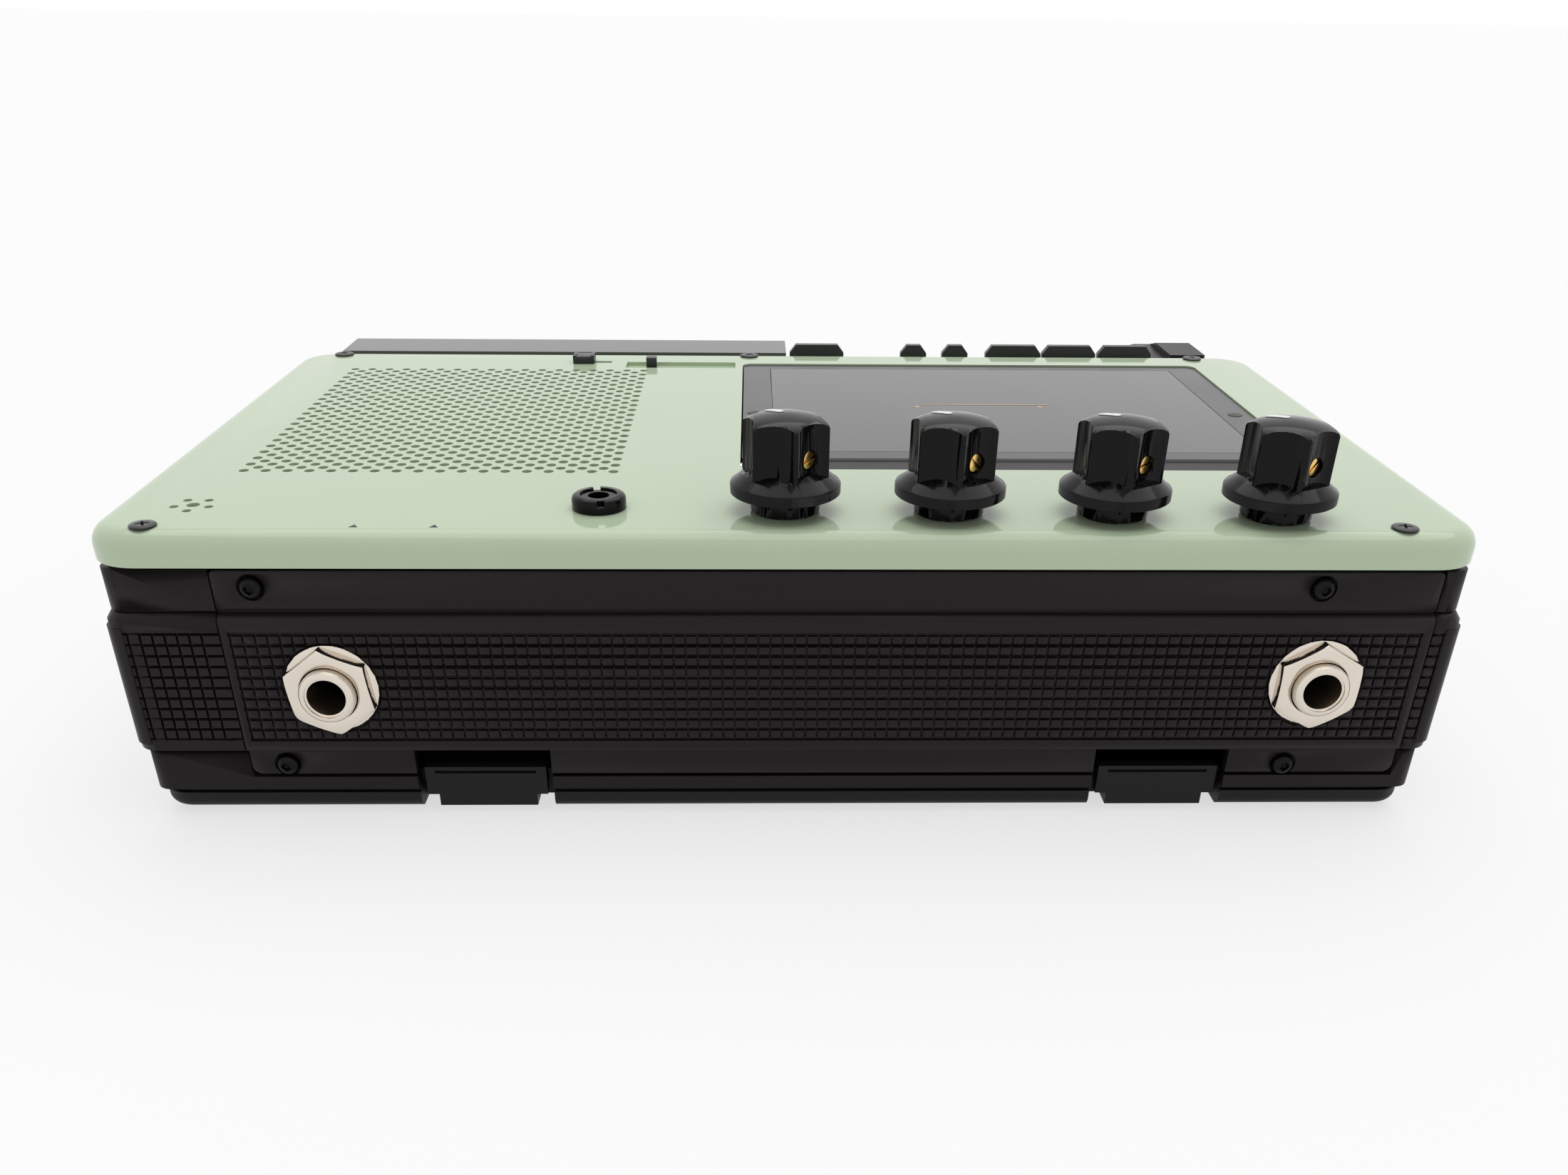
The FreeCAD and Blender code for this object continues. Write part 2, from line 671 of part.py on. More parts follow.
def stacked(rings):
    """A closed solid with flat faces, through outlines that all have the same number of corners."""
    faces = [Part.Face(Part.makePolygon(rings[0][::-1] + rings[0][-1:])),
             Part.Face(Part.makePolygon(rings[-1] + rings[-1][:1]))]
    for low, high in zip(rings, rings[1:]):
        for i, corner in enumerate(low):
            after = (i + 1) % len(low)
            faces.append(Part.Face(Part.makePolygon([corner, low[after], high[after], high[i], corner])))
    return Part.makeSolid(Part.makeShell(faces))


def knob_shape():
    """Collar, skirt, cone and fluted body with a domed top, standing on z = seat gap."""
    skirt_low = size["knob_collar_height"]
    skirt_high = skirt_low + size["knob_skirt_edge"]
    body_low = skirt_high + size["knob_cone"]
    body_high = body_low + size["knob_body_height"]
    top = body_high + size["knob_dome"]
    edge = size["knob_body"]
    collar = stacked([ring(size["knob_collar"], size["seat_gap"]), ring(size["knob_collar"], skirt_low)])
    skirt = stacked([ring(size["knob_skirt"], skirt_low), ring(size["knob_skirt"], skirt_high),
                     ring(edge - size["knob_edge_step"], body_low)])
    dome = stacked([ring(edge + size["knob_edge_step"], skirt_high), ring(edge + size["knob_edge_step"], body_high),
                    ring(edge * size["dome_wide"], top - size["knob_dome"] * size["dome_flat"]),
                    ring(edge * size["dome_flat"], top)])
    floor = edge - size["flute_depth"]
    half = math.pi / size["knob_flutes"]
    corners = []
    for flute in range(int(size["knob_flutes"])):
        for share, radius in ((-1, edge), (-0.5, floor + size["flute_curve"]), (0, floor),
                              (0.5, floor + size["flute_curve"])):
            turn = 2 * half * flute + half * share
            corners.append(Vector(radius * math.cos(turn), radius * math.sin(turn), skirt_high))
    body = Part.Face(Part.makePolygon(corners + corners[:1])).extrude(Vector(0, 0, top - skirt_high))
    return collar.fuse([skirt, body.common(dome)]).removeSplitter()


def knob(index):
    """Fluted knob with a skirt, standing on its collar."""
    name = "knob_%d" % (index + 1)
    x = "knob_x+%d*knob_pitch" % index
    y = "knob_y+%d*knob_row_slant" % index
    facing = Rotation(Vector(0, 0, 1), size["flute_turn"] + index * size["flute_turn_step"])
    blank = feature(name + "_blank", knob_shape())
    blank.Placement.Rotation = facing
    place(blank, x, y, "panel_top")
    bore = bar(name + "_bore", x, y, "panel_top-1", "pot_shaft+turning_gap", "12", sides=16)
    collar_bore = bar(name + "_collar_bore", x, y, "panel_top-1", "pot_bushing+1.6", "1+knob_collar_height-0.6")
    side = bar(name + "_side_hole", x, y, "panel_top+set_screw_height", "set_screw_radius+hole_clearance",
               "knob_body+1", "x")
    side.Placement.Rotation = facing.multiply(TURNS["x"])
    place(side, x, y, "panel_top+set_screw_height")
    node(cut(name + "_body", blank, bore, collar_bore, side), name)
    grub = bar(name + "_grub", x, y, "panel_top+set_screw_height", "set_screw_radius", "knob_body-flute_depth-0.6",
               "x")
    grub.Placement.Rotation = side.Placement.Rotation
    place(grub, x, y, "panel_top+set_screw_height")
    grub_core = bar(name + "_grub_core", x, y, "panel_top", "pot_shaft+turning_gap", "knob_skirt*2", sides=16)
    node(cut(name + "_set_screw", grub, grub_core), "set_screw_%d" % (index + 1))
    shaft = rod(name + "_shaft_bar", x, y, "panel_top-panel_sheet-2", "pot_shaft", "panel_sheet+2+10.8")
    node(shaft, "pot_shaft_%d" % (index + 1))
    pot = bar(name + "_pot_can", x, y, "panel_top-panel_sheet-pot_depth", "pot_radius", "pot_depth")
    neck = bar(name + "_pot_neck", x, y, "panel_top-panel_sheet", "pot_bushing", "panel_sheet+2")
    pot_bore = bar(name + "_pot_bore", x, y, "panel_top-panel_sheet-2-running_gap", "pot_shaft+turning_gap",
                   "panel_sheet+5", sides=16)
    return cut(name + "_pot", fuse(name + "_pot_blank", pot, neck), pot_bore)


node(group("potentiometer_set", *[knob(index) for index in range(4)]), "potentiometers")


# Control voltage jack on the panel
cv_body = box("cv_box", "cv_x-5", "cv_y-6", "panel_top-panel_sheet-12", "10", "12", "12")
cv_bushing = rod("cv_bushing_rod", "cv_x", "cv_y", "panel_top-panel_sheet-1", "cv_bushing",
                 "panel_sheet+1+cv_ring_height-0.3")
cv_bore = rod("cv_bore_rod", "cv_x", "cv_y", "panel_top-panel_sheet-11", "cv_bore", "30")
node(cut("cv_jack_body", fuse("cv_joined", cv_body, cv_bushing), cv_bore), "cv_jack")
cv_nut = cut("cv_nut_body", bar("cv_nut_blank", "cv_x", "cv_y", "panel_top", "cv_ring", "cv_ring_height", sides=24),
             bar("cv_nut_bore", "cv_x", "cv_y", "panel_top-1", "cv_bushing+running_gap", "cv_ring_height+2", sides=16))
node(cv_nut, "cv_jack_nut")


# Slide switches: caps that run in slots, on bodies under the panel
def slider(number, word):
    """Cap on a stem through the slot."""
    x, y = "switch_%s_x" % word, "switch_%s_y" % word
    wide, deep = "switch_%s_width" % word, "switch_%s_deep" % word
    floor = "panel_top" if word == "one" else "panel_top-recess_depth"
    cap = box("switch_cap_%s" % word, "%s-%s/2" % (x, wide), "%s-%s/2" % (y, deep), floor + "+seat_gap", wide, deep,
              "panel_top+switch_rise-seat_gap-(%s)" % floor)
    stem_wide = "switch_two_width-0.4" if word == "two" else "switch_one_width-1.2"
    stem = box("switch_stem_%s" % word, "%s-(%s)/2" % (x, stem_wide), "%s-slot_deep/2+hole_clearance" % y,
               "panel_top-panel_sheet-0.6", stem_wide, "slot_deep-2*hole_clearance", "panel_sheet+1.0")
    if word == "one":
        stem.setExpression(".Placement.Base.x", bound("%s-switch_one_width/2+hole_clearance" % x))
        stem.setExpression("Length", bound("switch_one_width-2*hole_clearance"))
    node(fuse("switch_slider_body_%s" % word, cap, stem), "switch_slider_%d" % number)


slider(1, "one")
slider(2, "two")
switch_bodies = [box("switch_body_one", "switch_one_x-6", "switch_one_y-3", "panel_top-panel_sheet-7.7", "16", "5.4",
                     "7"),
                 box("switch_body_two", "recess_left-1", "switch_two_y-3", "panel_top-panel_sheet-7.7", "25.8", "5.4",
                     "7")]
switch_ears = [box("switch_ear_one", "switch_one_x-6", "switch_one_y-3", "panel_top-panel_sheet-0.7", "2", "5.4",
                   "0.7"),
               box("switch_ear_two", "recess_left-1", "switch_two_y-3", "panel_top-panel_sheet-0.7", "2", "5.4",
                   "0.7")]
node(group("switch_body_set", fuse("switch_one_joined", switch_bodies[0], switch_ears[0]),
           fuse("switch_two_joined", switch_bodies[1], switch_ears[1])), "switch_bodies")


# Cassette door: frame, smoked window, two screws, hinge pin, and the fixed cover beside the hinge
door_top = "panel_top-door_drop"
door_blank = box("door_blank", "bay_left+door_gap", "door_near", door_top + "-door_thick",
                 "bay_right-bay_left-2*door_gap", "bay_far-door_gap-door_near", "door_thick")
window_hole = box("window_hole", "window_left", "window_near", door_top + "-window_thick",
                  "window_right-window_left", "window_far-window_near", "door_thick")
sight_hole = box("sight_hole", "window_left+2", "window_near+2", door_top + "-door_thick-1",
                 "window_right-window_left-4", "window_far-window_near-4", "door_thick+2")
door_screw_x = ("(bay_left+window_left)/2-0.5", "(bay_right+window_right)/2")
door_tools = [window_hole, sight_hole]
for i, x in enumerate(door_screw_x):
    door_tools.append(bar("door_screw_hole_%d" % i, x, "door_screw_y", door_top + "-door_thick-1", "1.1",
                          "door_thick+2", sides=8))
for i, x in enumerate(("bay_left+10", "bay_right-20")):
    ear = box("door_ear_%d" % i, x, "door_near+hinge_inset-1.8", "hinge_z-1.8", "10", "3.6", "2.4")
    door_blank = fuse("door_with_ear_%d" % i, door_blank, ear)
door_tools.append(bar("door_pin_bore", "bay_left", "door_near+hinge_inset", "hinge_z", "hinge_radius+turning_gap", "200", "x"))
node(cut("door_frame_body", door_blank, *door_tools), "door_frame")
node(box("door_window_body", "window_left+hole_clearance", "window_near+hole_clearance", door_top + "-window_thick",
         "window_right-window_left-2*hole_clearance", "window_far-window_near-2*hole_clearance",
         "window_thick"), "door_window")
door_screws = []
for i, x in enumerate(door_screw_x):
    door_screws.append(fuse("door_screw_%d" % i,
                            bar("door_screw_head_%d" % i, x, "door_screw_y", door_top, "1.6", "0.15", sides=10),
                            bar("door_screw_shank_%d" % i, x, "door_screw_y", door_top + "-door_thick",
                                "1.1-hole_clearance/2", "door_thick", sides=8)))
node(group("door_screw_set", *door_screws), "door_screws")
node(rod("door_hinge_pin_body", "bay_left-1.2", "door_near+hinge_inset", "hinge_z", "hinge_radius",
         "bay_right-bay_left+2.4", "x"), "door_hinge_pin")
cover_strip = box("hinge_cover_strip", "bay_left+door_gap", "bay_near+door_gap", "panel_top-0.6-1.6",
                  "bay_right-bay_left-2*door_gap", "door_near-bay_near-door_gap-1.4", "1.6")
cover_wall = box("hinge_cover_wall", "bay_left+door_gap", "bay_near+door_gap", "well_floor",
                 "bay_right-bay_left-2*door_gap", "1.6", "panel_top-0.6-well_floor")
node(fuse("hinge_cover_body", cover_strip, cover_wall), "hinge_cover")


# Cassette well: open tray under the door, on four legs
well_outer = box("well_outer", "bay_left-1.5", "bay_near-1.5", "well_floor-well_sheet",
                 "bay_right-bay_left+3", "bay_far-bay_near+3", "panel_top-panel_sheet-well_floor+well_sheet")
well_inner = box("well_inner", "bay_left", "bay_near", "well_floor", "bay_right-bay_left", "bay_far-bay_near",
                 "panel_top")
well_middle = "(window_left+window_right)/2"
supply_x = well_middle + "-hub_spacing/2"
takeup_x = well_middle + "+hub_spacing/2"
well_tools = [well_inner,
              bar("well_supply_hole", supply_x, "hub_y", "well_floor-5", "spindle_shaft+turning_gap", "10"),
              bar("well_takeup_hole", takeup_x, "hub_y", "well_floor-5", "spindle_shaft+turning_gap", "10"),
              bar("well_capstan_hole", "capstan_x", "capstan_y", "well_floor-5", "capstan_radius+turning_gap", "10"),
              bar("well_pin_bore", "bay_left-3", "door_near+hinge_inset", "hinge_z", "hinge_radius+pin_seat",
                  "bay_right-bay_left+6", "x")]
legs = []
for i, (x, y) in enumerate((("bay_left", "bay_near"), ("bay_right-6", "bay_near"), ("bay_left", "bay_far-6"),
                            ("bay_right-6", "bay_far-6"))):
    legs.append(box("well_leg_%d" % i, x, y, "cover_bottom+cover_floor", "6", "6",
                    "well_floor-cover_bottom-cover_floor-0.5"))
pinch_pivot = rod("pinch_pivot_pin", "capstan_x+pinch_arm_length", "pinch_y", "well_floor-0.5", "1", "5")
node(fuse("cassette_well_body", cut("well_tray", well_outer, *well_tools), pinch_pivot, *legs), "cassette_well")


def spindle(name, x):
    """Tape hub with six drive fins on a disc and a shaft."""
    disc = bar(name + "_disc", x, "hub_y", "well_floor+seat_gap", "hub_disc", "1.5", sides=24)
    post = bar(name + "_post", x, "hub_y", "well_floor+seat_gap", "hub_radius-1.4", "hub_top-well_floor-seat_gap")
    shaft = rod(name + "_shaft", x, "hub_y", "well_floor-well_sheet-4", "spindle_shaft", "well_sheet+6")
    fins = []
    for i in range(3):
        fin = box("%s_fin_%d" % (name, i), x, "hub_y", "well_floor+1", "2*hub_radius", "1.1", "hub_top-well_floor-2")
        turn = Rotation(Vector(0, 0, 1), 60 * i)
        fin.Placement.Rotation = turn
        angle = "%d deg" % (60 * i)
        place(fin, "%s-hub_radius*cos(%s)+0.55*sin(%s)" % (x, angle, angle),
              "hub_y-hub_radius*sin(%s)-0.55*cos(%s)" % (angle, angle), "well_floor+1")
        fins.append(fin)
    return fuse(name + "_joined", disc, post, shaft, *fins)


node(spindle("supply", supply_x), "supply_spindle")
node(spindle("takeup", takeup_x), "takeup_spindle")

# Capstan with its flywheel, driven by the motor through a belt
flywheel = fuse("capstan_joined",
                bar("flywheel_disc", "capstan_x", "capstan_y", "flywheel_bottom", "flywheel_radius", "flywheel_thick",
                    sides=28),
                bar("flywheel_hub", "capstan_x", "capstan_y", "flywheel_bottom", "4", "flywheel_thick+1.5"),
                rod("capstan_bar", "capstan_x", "capstan_y", "flywheel_bottom", "capstan_radius",
                    "hub_top-flywheel_bottom"))
node(flywheel, "capstan_flywheel")
bearing_post = bar("flywheel_bearing_post", "capstan_x", "capstan_y", "cover_bottom+cover_floor-0.5", "4",
                   "flywheel_bottom-cover_bottom-cover_floor-seat_gap+0.5")
motor_can = bar("motor_can", "motor_x", "motor_y", "cover_bottom+cover_floor", "motor_radius", "motor_height", sides=20)
node(motor_can, "motor")
pulley = bar("pulley_wheel", "motor_x", "motor_y", "flywheel_bottom", "pulley_radius", "flywheel_thick", sides=16)
pulley_shaft = rod("pulley_shaft", "motor_x", "motor_y", "cover_bottom+cover_floor+motor_height+seat_gap", "1",
                   "flywheel_bottom-cover_bottom-cover_floor-motor_height")
node(fuse("motor_pulley_body", pulley, pulley_shaft), "motor_pulley")


def belt_loop(extra):
    """Outline of the belt round both wheels, as a face."""
    first = Vector(size["motor_x"], size["motor_y"], 0)
    second = Vector(size["capstan_x"], size["capstan_y"], 0)
    small = size["pulley_radius"] + extra
    large = size["flywheel_radius"] + extra
    along = second - first
    lean = math.acos((small - large) / along.Length)
    base = math.atan2(along.y, along.x)
    points = []
    for centre, radius, start, sweep in ((second, large, base - lean, 2 * lean),
                                         (first, small, base + lean, 2 * math.pi - 2 * lean)):
        steps = max(2, int(math.ceil(math.degrees(sweep) / 18)))
        for i in range(steps + 1):
            angle = start + sweep * i / steps
            points.append(centre + Vector(math.cos(angle), math.sin(angle), 0) * radius)
    return Part.Face(Part.makePolygon(points + points[:1]))


belt_gap = size["seat_gap"] * 5
belt_ring = belt_loop(belt_gap + size["belt_thick"]).cut(belt_loop(belt_gap))
belt_shape = belt_ring.extrude(Vector(0, 0, size["belt_high"]))
belt_shape.translate(Vector(0, 0, size["flywheel_bottom"] + 1.5))
node(feature("drive_belt_body", belt_shape), "drive_belt")

# Pinch roller on its arm, and the head bridge with three heads
arm_x = "capstan_x+pinch_arm_length"
arm_bar = box("arm_bar", "capstan_x", "pinch_y-1.6", "well_floor+seat_gap", "pinch_arm_length", "3.2", "1.4")
arm_tools = fuse("arm_blank", arm_bar,
                 bar("arm_boss", arm_x, "pinch_y", "well_floor+seat_gap", "3", "3.5"),
                 bar("arm_eye", "capstan_x", "pinch_y", "well_floor+seat_gap", "2.4", "1.4"),
                 rod("arm_axle", "capstan_x", "pinch_y", "well_floor+seat_gap", "1", "10.5"))
node(cut("pinch_arm_body", arm_tools, bar("arm_bore", arm_x, "pinch_y", "well_floor-1", "1+turning_gap", "8")),
     "pinch_arm")
node(cut("pinch_roller_body", bar("roller_blank", "capstan_x", "pinch_y", "well_floor+1.7", "pinch_radius", "7.5", sides=20),
         bar("roller_bore", "capstan_x", "pinch_y", "well_floor", "1+turning_gap", "12")), "pinch_roller")
bridge = box("bridge_plate", well_middle + "-24", "bay_far-8", "well_floor+seat_gap", "40", "7", "1.4")
node(bridge, "head_bridge")
heads = []
for i in range(3):
    head = box("head_%d" % i, well_middle + "-20+%d*12" % i, "bay_far-9.5", "well_floor+seat_gap+1.4", "9", "7",
               "8.5")
    heads.append(rounded("head_round_%d" % i, head, "belt_proud",
                         lambda edge: upright(edge) and edge.BoundBox.YMin < size["bay_far"] - 9))
node(group("tape_head_set", *heads), "tape_heads")

# Bottom cover with two snap latches, the battery door and the feet
cover_blank = box("cover_blank", "-case_width/2+cover_inset", "case_near+cover_inset", "cover_bottom",
                  "case_width-2*cover_inset", "case_far-case_near-2*cover_inset", "cover_top-cover_bottom")
cover_corners = rounded("cover_corners", cover_blank, "cover_corner", upright)
cover_outer = rounded("cover_outer", cover_corners, "cover_rounding", level_at(size["cover_bottom"]))
cover_lip = box("cover_lip", "-case_width/2+case_wall*0.6", "case_near+case_wall*0.6", "cover_bottom+1",
                "case_width-1.2*case_wall", "case_far-case_near-1.2*case_wall", "case_bottom-cover_bottom-1")
cover_lip_round = rounded("cover_lip_round", cover_lip, "cover_corner", upright)
cover_hollow = box("cover_hollow", "-case_width/2+2*case_wall", "case_near+2*case_wall+notch_depth",
                   "cover_bottom+cover_floor", "case_width-4*case_wall",
                   "case_far-case_near-4*case_wall-notch_depth", "10")
box_left, box_near = "cells_left-1", "cells_near-1"
box_along = "2*cell_radius*cell_count+3"
box_deep = "cell_length+2"
battery_hole = box("battery_hole", "-case_width/2-1", box_near, "0", "case_width/2+1+%s+%s" % (box_left, box_along),
                   box_deep, "10")
cover_tools = [cover_hollow, battery_hole]
for side in ("left", "right"):
    cover_tools.append(box("cover_notch_%s" % side, "notch_%s-notch_width/2" % side, "case_near-1", "0",
                           "notch_width", "notch_depth+1", "10"))
cover_open = cut("cover_open", fuse("cover_joined", cover_outer, cover_lip_round), *cover_tools)
tabs = []
for side in ("left", "right"):
    tab = box("tab_%s" % side, "notch_%s-tab_width/2" % side, "case_near+0.8", "tab_bottom", "tab_width",
              "tab_thick", "tab_top-tab_bottom")
    arm = box("tab_arm_%s" % side, "notch_%s-tab_width/2+2" % side, "case_near+0.8", "cover_bottom+0.5",
              "tab_width-4", "notch_depth", "tab_bottom-cover_bottom+0.2")
    slot = box("tab_slot_%s" % side, "notch_%s-tab_width/2+1.8" % side, "case_near+0.3", "tab_top-1.3",
               "tab_width-3.6", "1.1", "0.6")
    tabs.append(cut("tab_cut_%s" % side, fuse("tab_joined_%s" % side, tab, arm), slot))
battery_box = cut("battery_box",
                  box("battery_box_outer", box_left + "-box_wall", box_near + "-box_wall", "cover_bottom+1",
                      box_along + "+2*box_wall", box_deep + "+2*box_wall", "cover_floor+1+2*cell_radius"),
                  box("battery_box_inner", box_left, box_near, "0", box_along, box_deep,
                      "cover_bottom+cover_floor+2*cell_radius+0.5"),
                  box("battery_box_slide", box_left + "-2*box_wall", box_near, "0", "4*box_wall", box_deep,
                      "cover_bottom+cover_floor+door_gap"))
node(fuse("bottom_cover_body", cover_open, battery_box, bearing_post, *tabs), "bottom_cover")
door_length = "case_width/2-cover_inset+%s+%s-door_gap" % (box_left, box_along)
door_plate = box("battery_door_plate", "-case_width/2+cover_inset", box_near + "+door_gap", "cover_bottom",
                 door_length, box_deep + "-2*door_gap", "cover_floor")
door_edge = box("battery_door_edge", "-case_width/2+cover_inset", box_near + "+door_gap", "cover_bottom", "2",
                box_deep + "-2*door_gap", "cover_top-cover_bottom")
door_joined = fuse("battery_door_joined", door_plate, door_edge)
node(rounded("battery_door_body", door_joined, "cover_rounding",
             lambda edge: edge.BoundBox.XMax < -case_half + size["cover_inset"] + 0.01
             and abs(edge.BoundBox.ZMax - size["cover_bottom"]) < 1e-6), "battery_door")
feet = []
for i, (x, y) in enumerate((("-case_width/2+foot_inset", "case_near+foot_inset"),
                            ("case_width/2-foot_inset", "case_near+foot_inset"),
                            ("-case_width/2+foot_inset", "case_far-foot_inset"),
                            ("case_width/2-foot_inset", "case_far-foot_inset"))):
    feet.append(bar("foot_%d" % i, x, y, "0", "foot_radius", "cover_bottom", sides=16))
node(group("foot_set", *feet), "rubber_feet")

# Battery cells
cells = []
for i in range(int(size["cell_count"])):
    x = "cells_left+0.5+cell_radius*%d" % (2 * i + 1)
    middle = "cover_bottom+cover_floor+cell_radius+0.2"
    barrel = bar("cell_%d" % i, x, "cells_near", middle, "cell_radius-0.1", "cell_length-1.5", "y", sides=16)
    nub = bar("cell_nub_%d" % i, x, "cells_near+cell_length-1.6", middle, "3.5", "1.6", "y", sides=10)
    cells.append(fuse("cell_joined_%d" % i, barrel, nub))
node(group("battery_set", *cells), "batteries")

# Main board on four posts
board = box("board_sheet_box", "-1", "case_near+32", "board_bottom", "92", "26", "board_sheet")
posts = [bar("board_post_%d" % i, x, y, "cover_bottom+cover_floor", "2", "board_bottom-cover_bottom-cover_floor", sides=8)
         for i, (x, y) in enumerate((("3", "case_near+36"), ("86", "case_near+36"), ("3", "case_near+54"),
                                     ("86", "case_near+54")))]
chips = [box("chip_%d" % i, "%d" % (6 + 20 * i), "case_near+40", "board_bottom+board_sheet-0.1", "16", "7", "3.1")
         for i in range(4)]
node(fuse("main_board_body", board, *posts, *chips), "main_board")

# Key side: name strip, end block, shaft and six keys
front_gap = 0.4
strip_near = size["panel_far"] + front_gap


def fascia(name, left, right):
    """Black strip beside the panel, flat first, then sloping to the key side."""
    length = "%s-(%s)" % (right, left)
    body = extruded(name, "YZ_Plane", [("panel_far+%g" % front_gap, "case_shoulder"),
                                       ("case_far-0.6", "case_shoulder"),
                                       ("case_far-0.6", "panel_top-strip_far_drop"),
                                       ("panel_far+strip_flat", "panel_top"),
                                       ("panel_far+%g" % front_gap, "panel_top")], length)
    place(body, "(%s+%s)/2" % (right, left), "0", "0")
    return body


for name, left, right, label in (("name_strip", "strip_left", "strip_right", "nameplate_strip"),
                                 ("end_block", "block_left-4", "block_right", "end_block")):
    blank = fascia(name + "_blank", left, right)
    shaft_bore = bar(name + "_bore", "strip_right-6" if name == "name_strip" else "block_left-6", "key_axis_y",
                     "key_axis_z", "key_shaft+pin_seat", "7" if name == "name_strip" else "8", "x")
    tools = [shaft_bore]
    if name == "end_block":
        tools.append(box("end_block_step", "block_left-5", "panel_far", "key_axis_z+2", "5", "40", "10"))
    node(cut(name + "_body", blank, *tools), label)
node(rod("key_shaft_body", "strip_right-5", "key_axis_y", "key_axis_z", "key_shaft",
         "block_left-strip_right+5", "x"), "key_shaft")

KEYS = [("record_key", 0, 1, 0.0, 13.3), ("play_key", 1, 1, 0.0, 13.3), ("rewind_key", 2, 1, 0.0, 13.7),
        ("forward_key", 3, 1, -0.6, 6.4), ("stop_key", 4, 1, 3.0, 6.4), ("pause_key", 5, 1.5, -3.6, 13.3)]
for label, index, span, shift, nib in KEYS:
    right = "key_first-%d*key_pitch" % index
    wide = "%g*key_pitch-key_gap" % span
    middle = "%s-key_gap/2-(%s)/2" % (right, wide)
    body = extruded(label + "_cap", "YZ_Plane", [("panel_far+0.6", "key_bottom"), ("key_front", "key_front_bottom"),
                                                 ("key_front", "key_front_top"), ("panel_far+3", "key_top"),
                                                 ("panel_far+0.6", "key_top")], wide)
    place(body, middle, "0", "0")
    ridge = extruded(label + "_ridge", "XZ_Plane", [("-%g/2" % nib, "panel_top-2.5"), ("%g/2" % nib, "panel_top-2.5"),
                                                    ("%g/2" % nib, "panel_top"),
                                                    ("%g/2-key_nib_side" % nib, "panel_top+key_nib_rise"),
                                                    ("-%g/2+key_nib_side" % nib, "panel_top+key_nib_rise"),
                                                    ("-%g/2" % nib, "panel_top")], "1.8")
    place(ridge, "%s+%g" % (middle, shift), "panel_far+1.6", "0")
    bore = bar(label + "_bore", middle + "-20", "key_axis_y", "key_axis_z", "key_shaft+turning_gap", "40", "x")
    node(cut(label + "_body", fuse(label + "_joined", body, ridge), bore), label)

springs = []
for label, index, span, shift, nib in KEYS:
    middle = "key_first-%d*key_pitch-%g*key_pitch/2" % (index, span)
    leaf = extruded(label + "_leaf", "YZ_Plane", [("key_axis_y", "deck_top"), ("key_axis_y+5", "deck_top"),
                                                  ("key_axis_y+13", "deck_top+3.5"),
                                                  ("key_axis_y+12.8", "deck_top+3.8"),
                                                  ("key_axis_y+4.8", "deck_top+0.3"),
                                                  ("key_axis_y", "deck_top+0.3")], "4")
    place(leaf, middle, "0", "0")
    springs.append(leaf)
node(group("key_spring_set", *springs), "key_springs")

doc.recompute()

# Checks before writing: no failed object, no empty or broken shape
bad = [thing.Name for thing in doc.Objects if "Invalid" in thing.State or "Error" in thing.State]
if bad:
    raise SystemExit("failed objects: " + ", ".join(bad))
for thing in PARTS:
    if thing.Shape.isNull() or not thing.Shape.isValid() or not thing.Shape.Solids:
        raise SystemExit("bad shape: " + thing.Label)
os.makedirs("parts", exist_ok=True)
for thing in PARTS:
    thing.Shape.exportStep("parts/" + thing.Label + ".step")
    extent = thing.Shape.BoundBox
    print("%-18s solids %d faces %4d  x %.1f %.1f  y %.1f %.1f  z %.1f %.1f" % (
        thing.Label, len(thing.Shape.Solids), len(thing.Shape.Faces), extent.XMin, extent.XMax, extent.YMin,
        extent.YMax, extent.ZMin, extent.ZMax))
print(len(PARTS), "pieces")
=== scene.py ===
# %% [markdown]
# A tape echo in Blender
#
# The real object is a portable cassette recorder whose back has been rebuilt as an echo unit.
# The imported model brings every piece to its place, in metres. This lesson gives those pieces their
# finishes, and models again the pieces that need finer detail: the knobs, the punched grille,
# the square-cut belt, the screws and the jacks.

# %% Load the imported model
import json
import math

import bpy
from mathutils import Matrix, Vector


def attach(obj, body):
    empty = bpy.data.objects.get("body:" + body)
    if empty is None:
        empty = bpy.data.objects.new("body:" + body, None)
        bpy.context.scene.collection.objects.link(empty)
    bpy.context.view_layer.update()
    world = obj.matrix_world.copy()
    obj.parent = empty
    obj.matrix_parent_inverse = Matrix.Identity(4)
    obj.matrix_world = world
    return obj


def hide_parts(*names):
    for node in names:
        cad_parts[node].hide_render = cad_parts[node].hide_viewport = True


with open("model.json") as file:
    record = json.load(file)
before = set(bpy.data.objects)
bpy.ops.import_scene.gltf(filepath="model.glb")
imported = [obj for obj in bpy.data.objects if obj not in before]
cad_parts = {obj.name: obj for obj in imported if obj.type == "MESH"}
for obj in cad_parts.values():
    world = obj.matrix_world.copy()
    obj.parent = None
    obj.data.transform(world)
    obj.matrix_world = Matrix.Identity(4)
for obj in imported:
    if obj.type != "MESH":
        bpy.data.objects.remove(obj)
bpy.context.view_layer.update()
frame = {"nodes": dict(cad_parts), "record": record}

# %% [markdown]
# The camera
#
# The photograph was taken from the jack side, about a hand's width above the panel and looking
# down 31 degrees. The focal length, the tilt and the small roll were worked out from the square
# lattice of the grille and the upright edges. FOCAL, WIDTH, HEIGHT and MIDDLE_ROW are pixels of the
# photograph, the three turns are radians, and the camera's place is in millimetres.

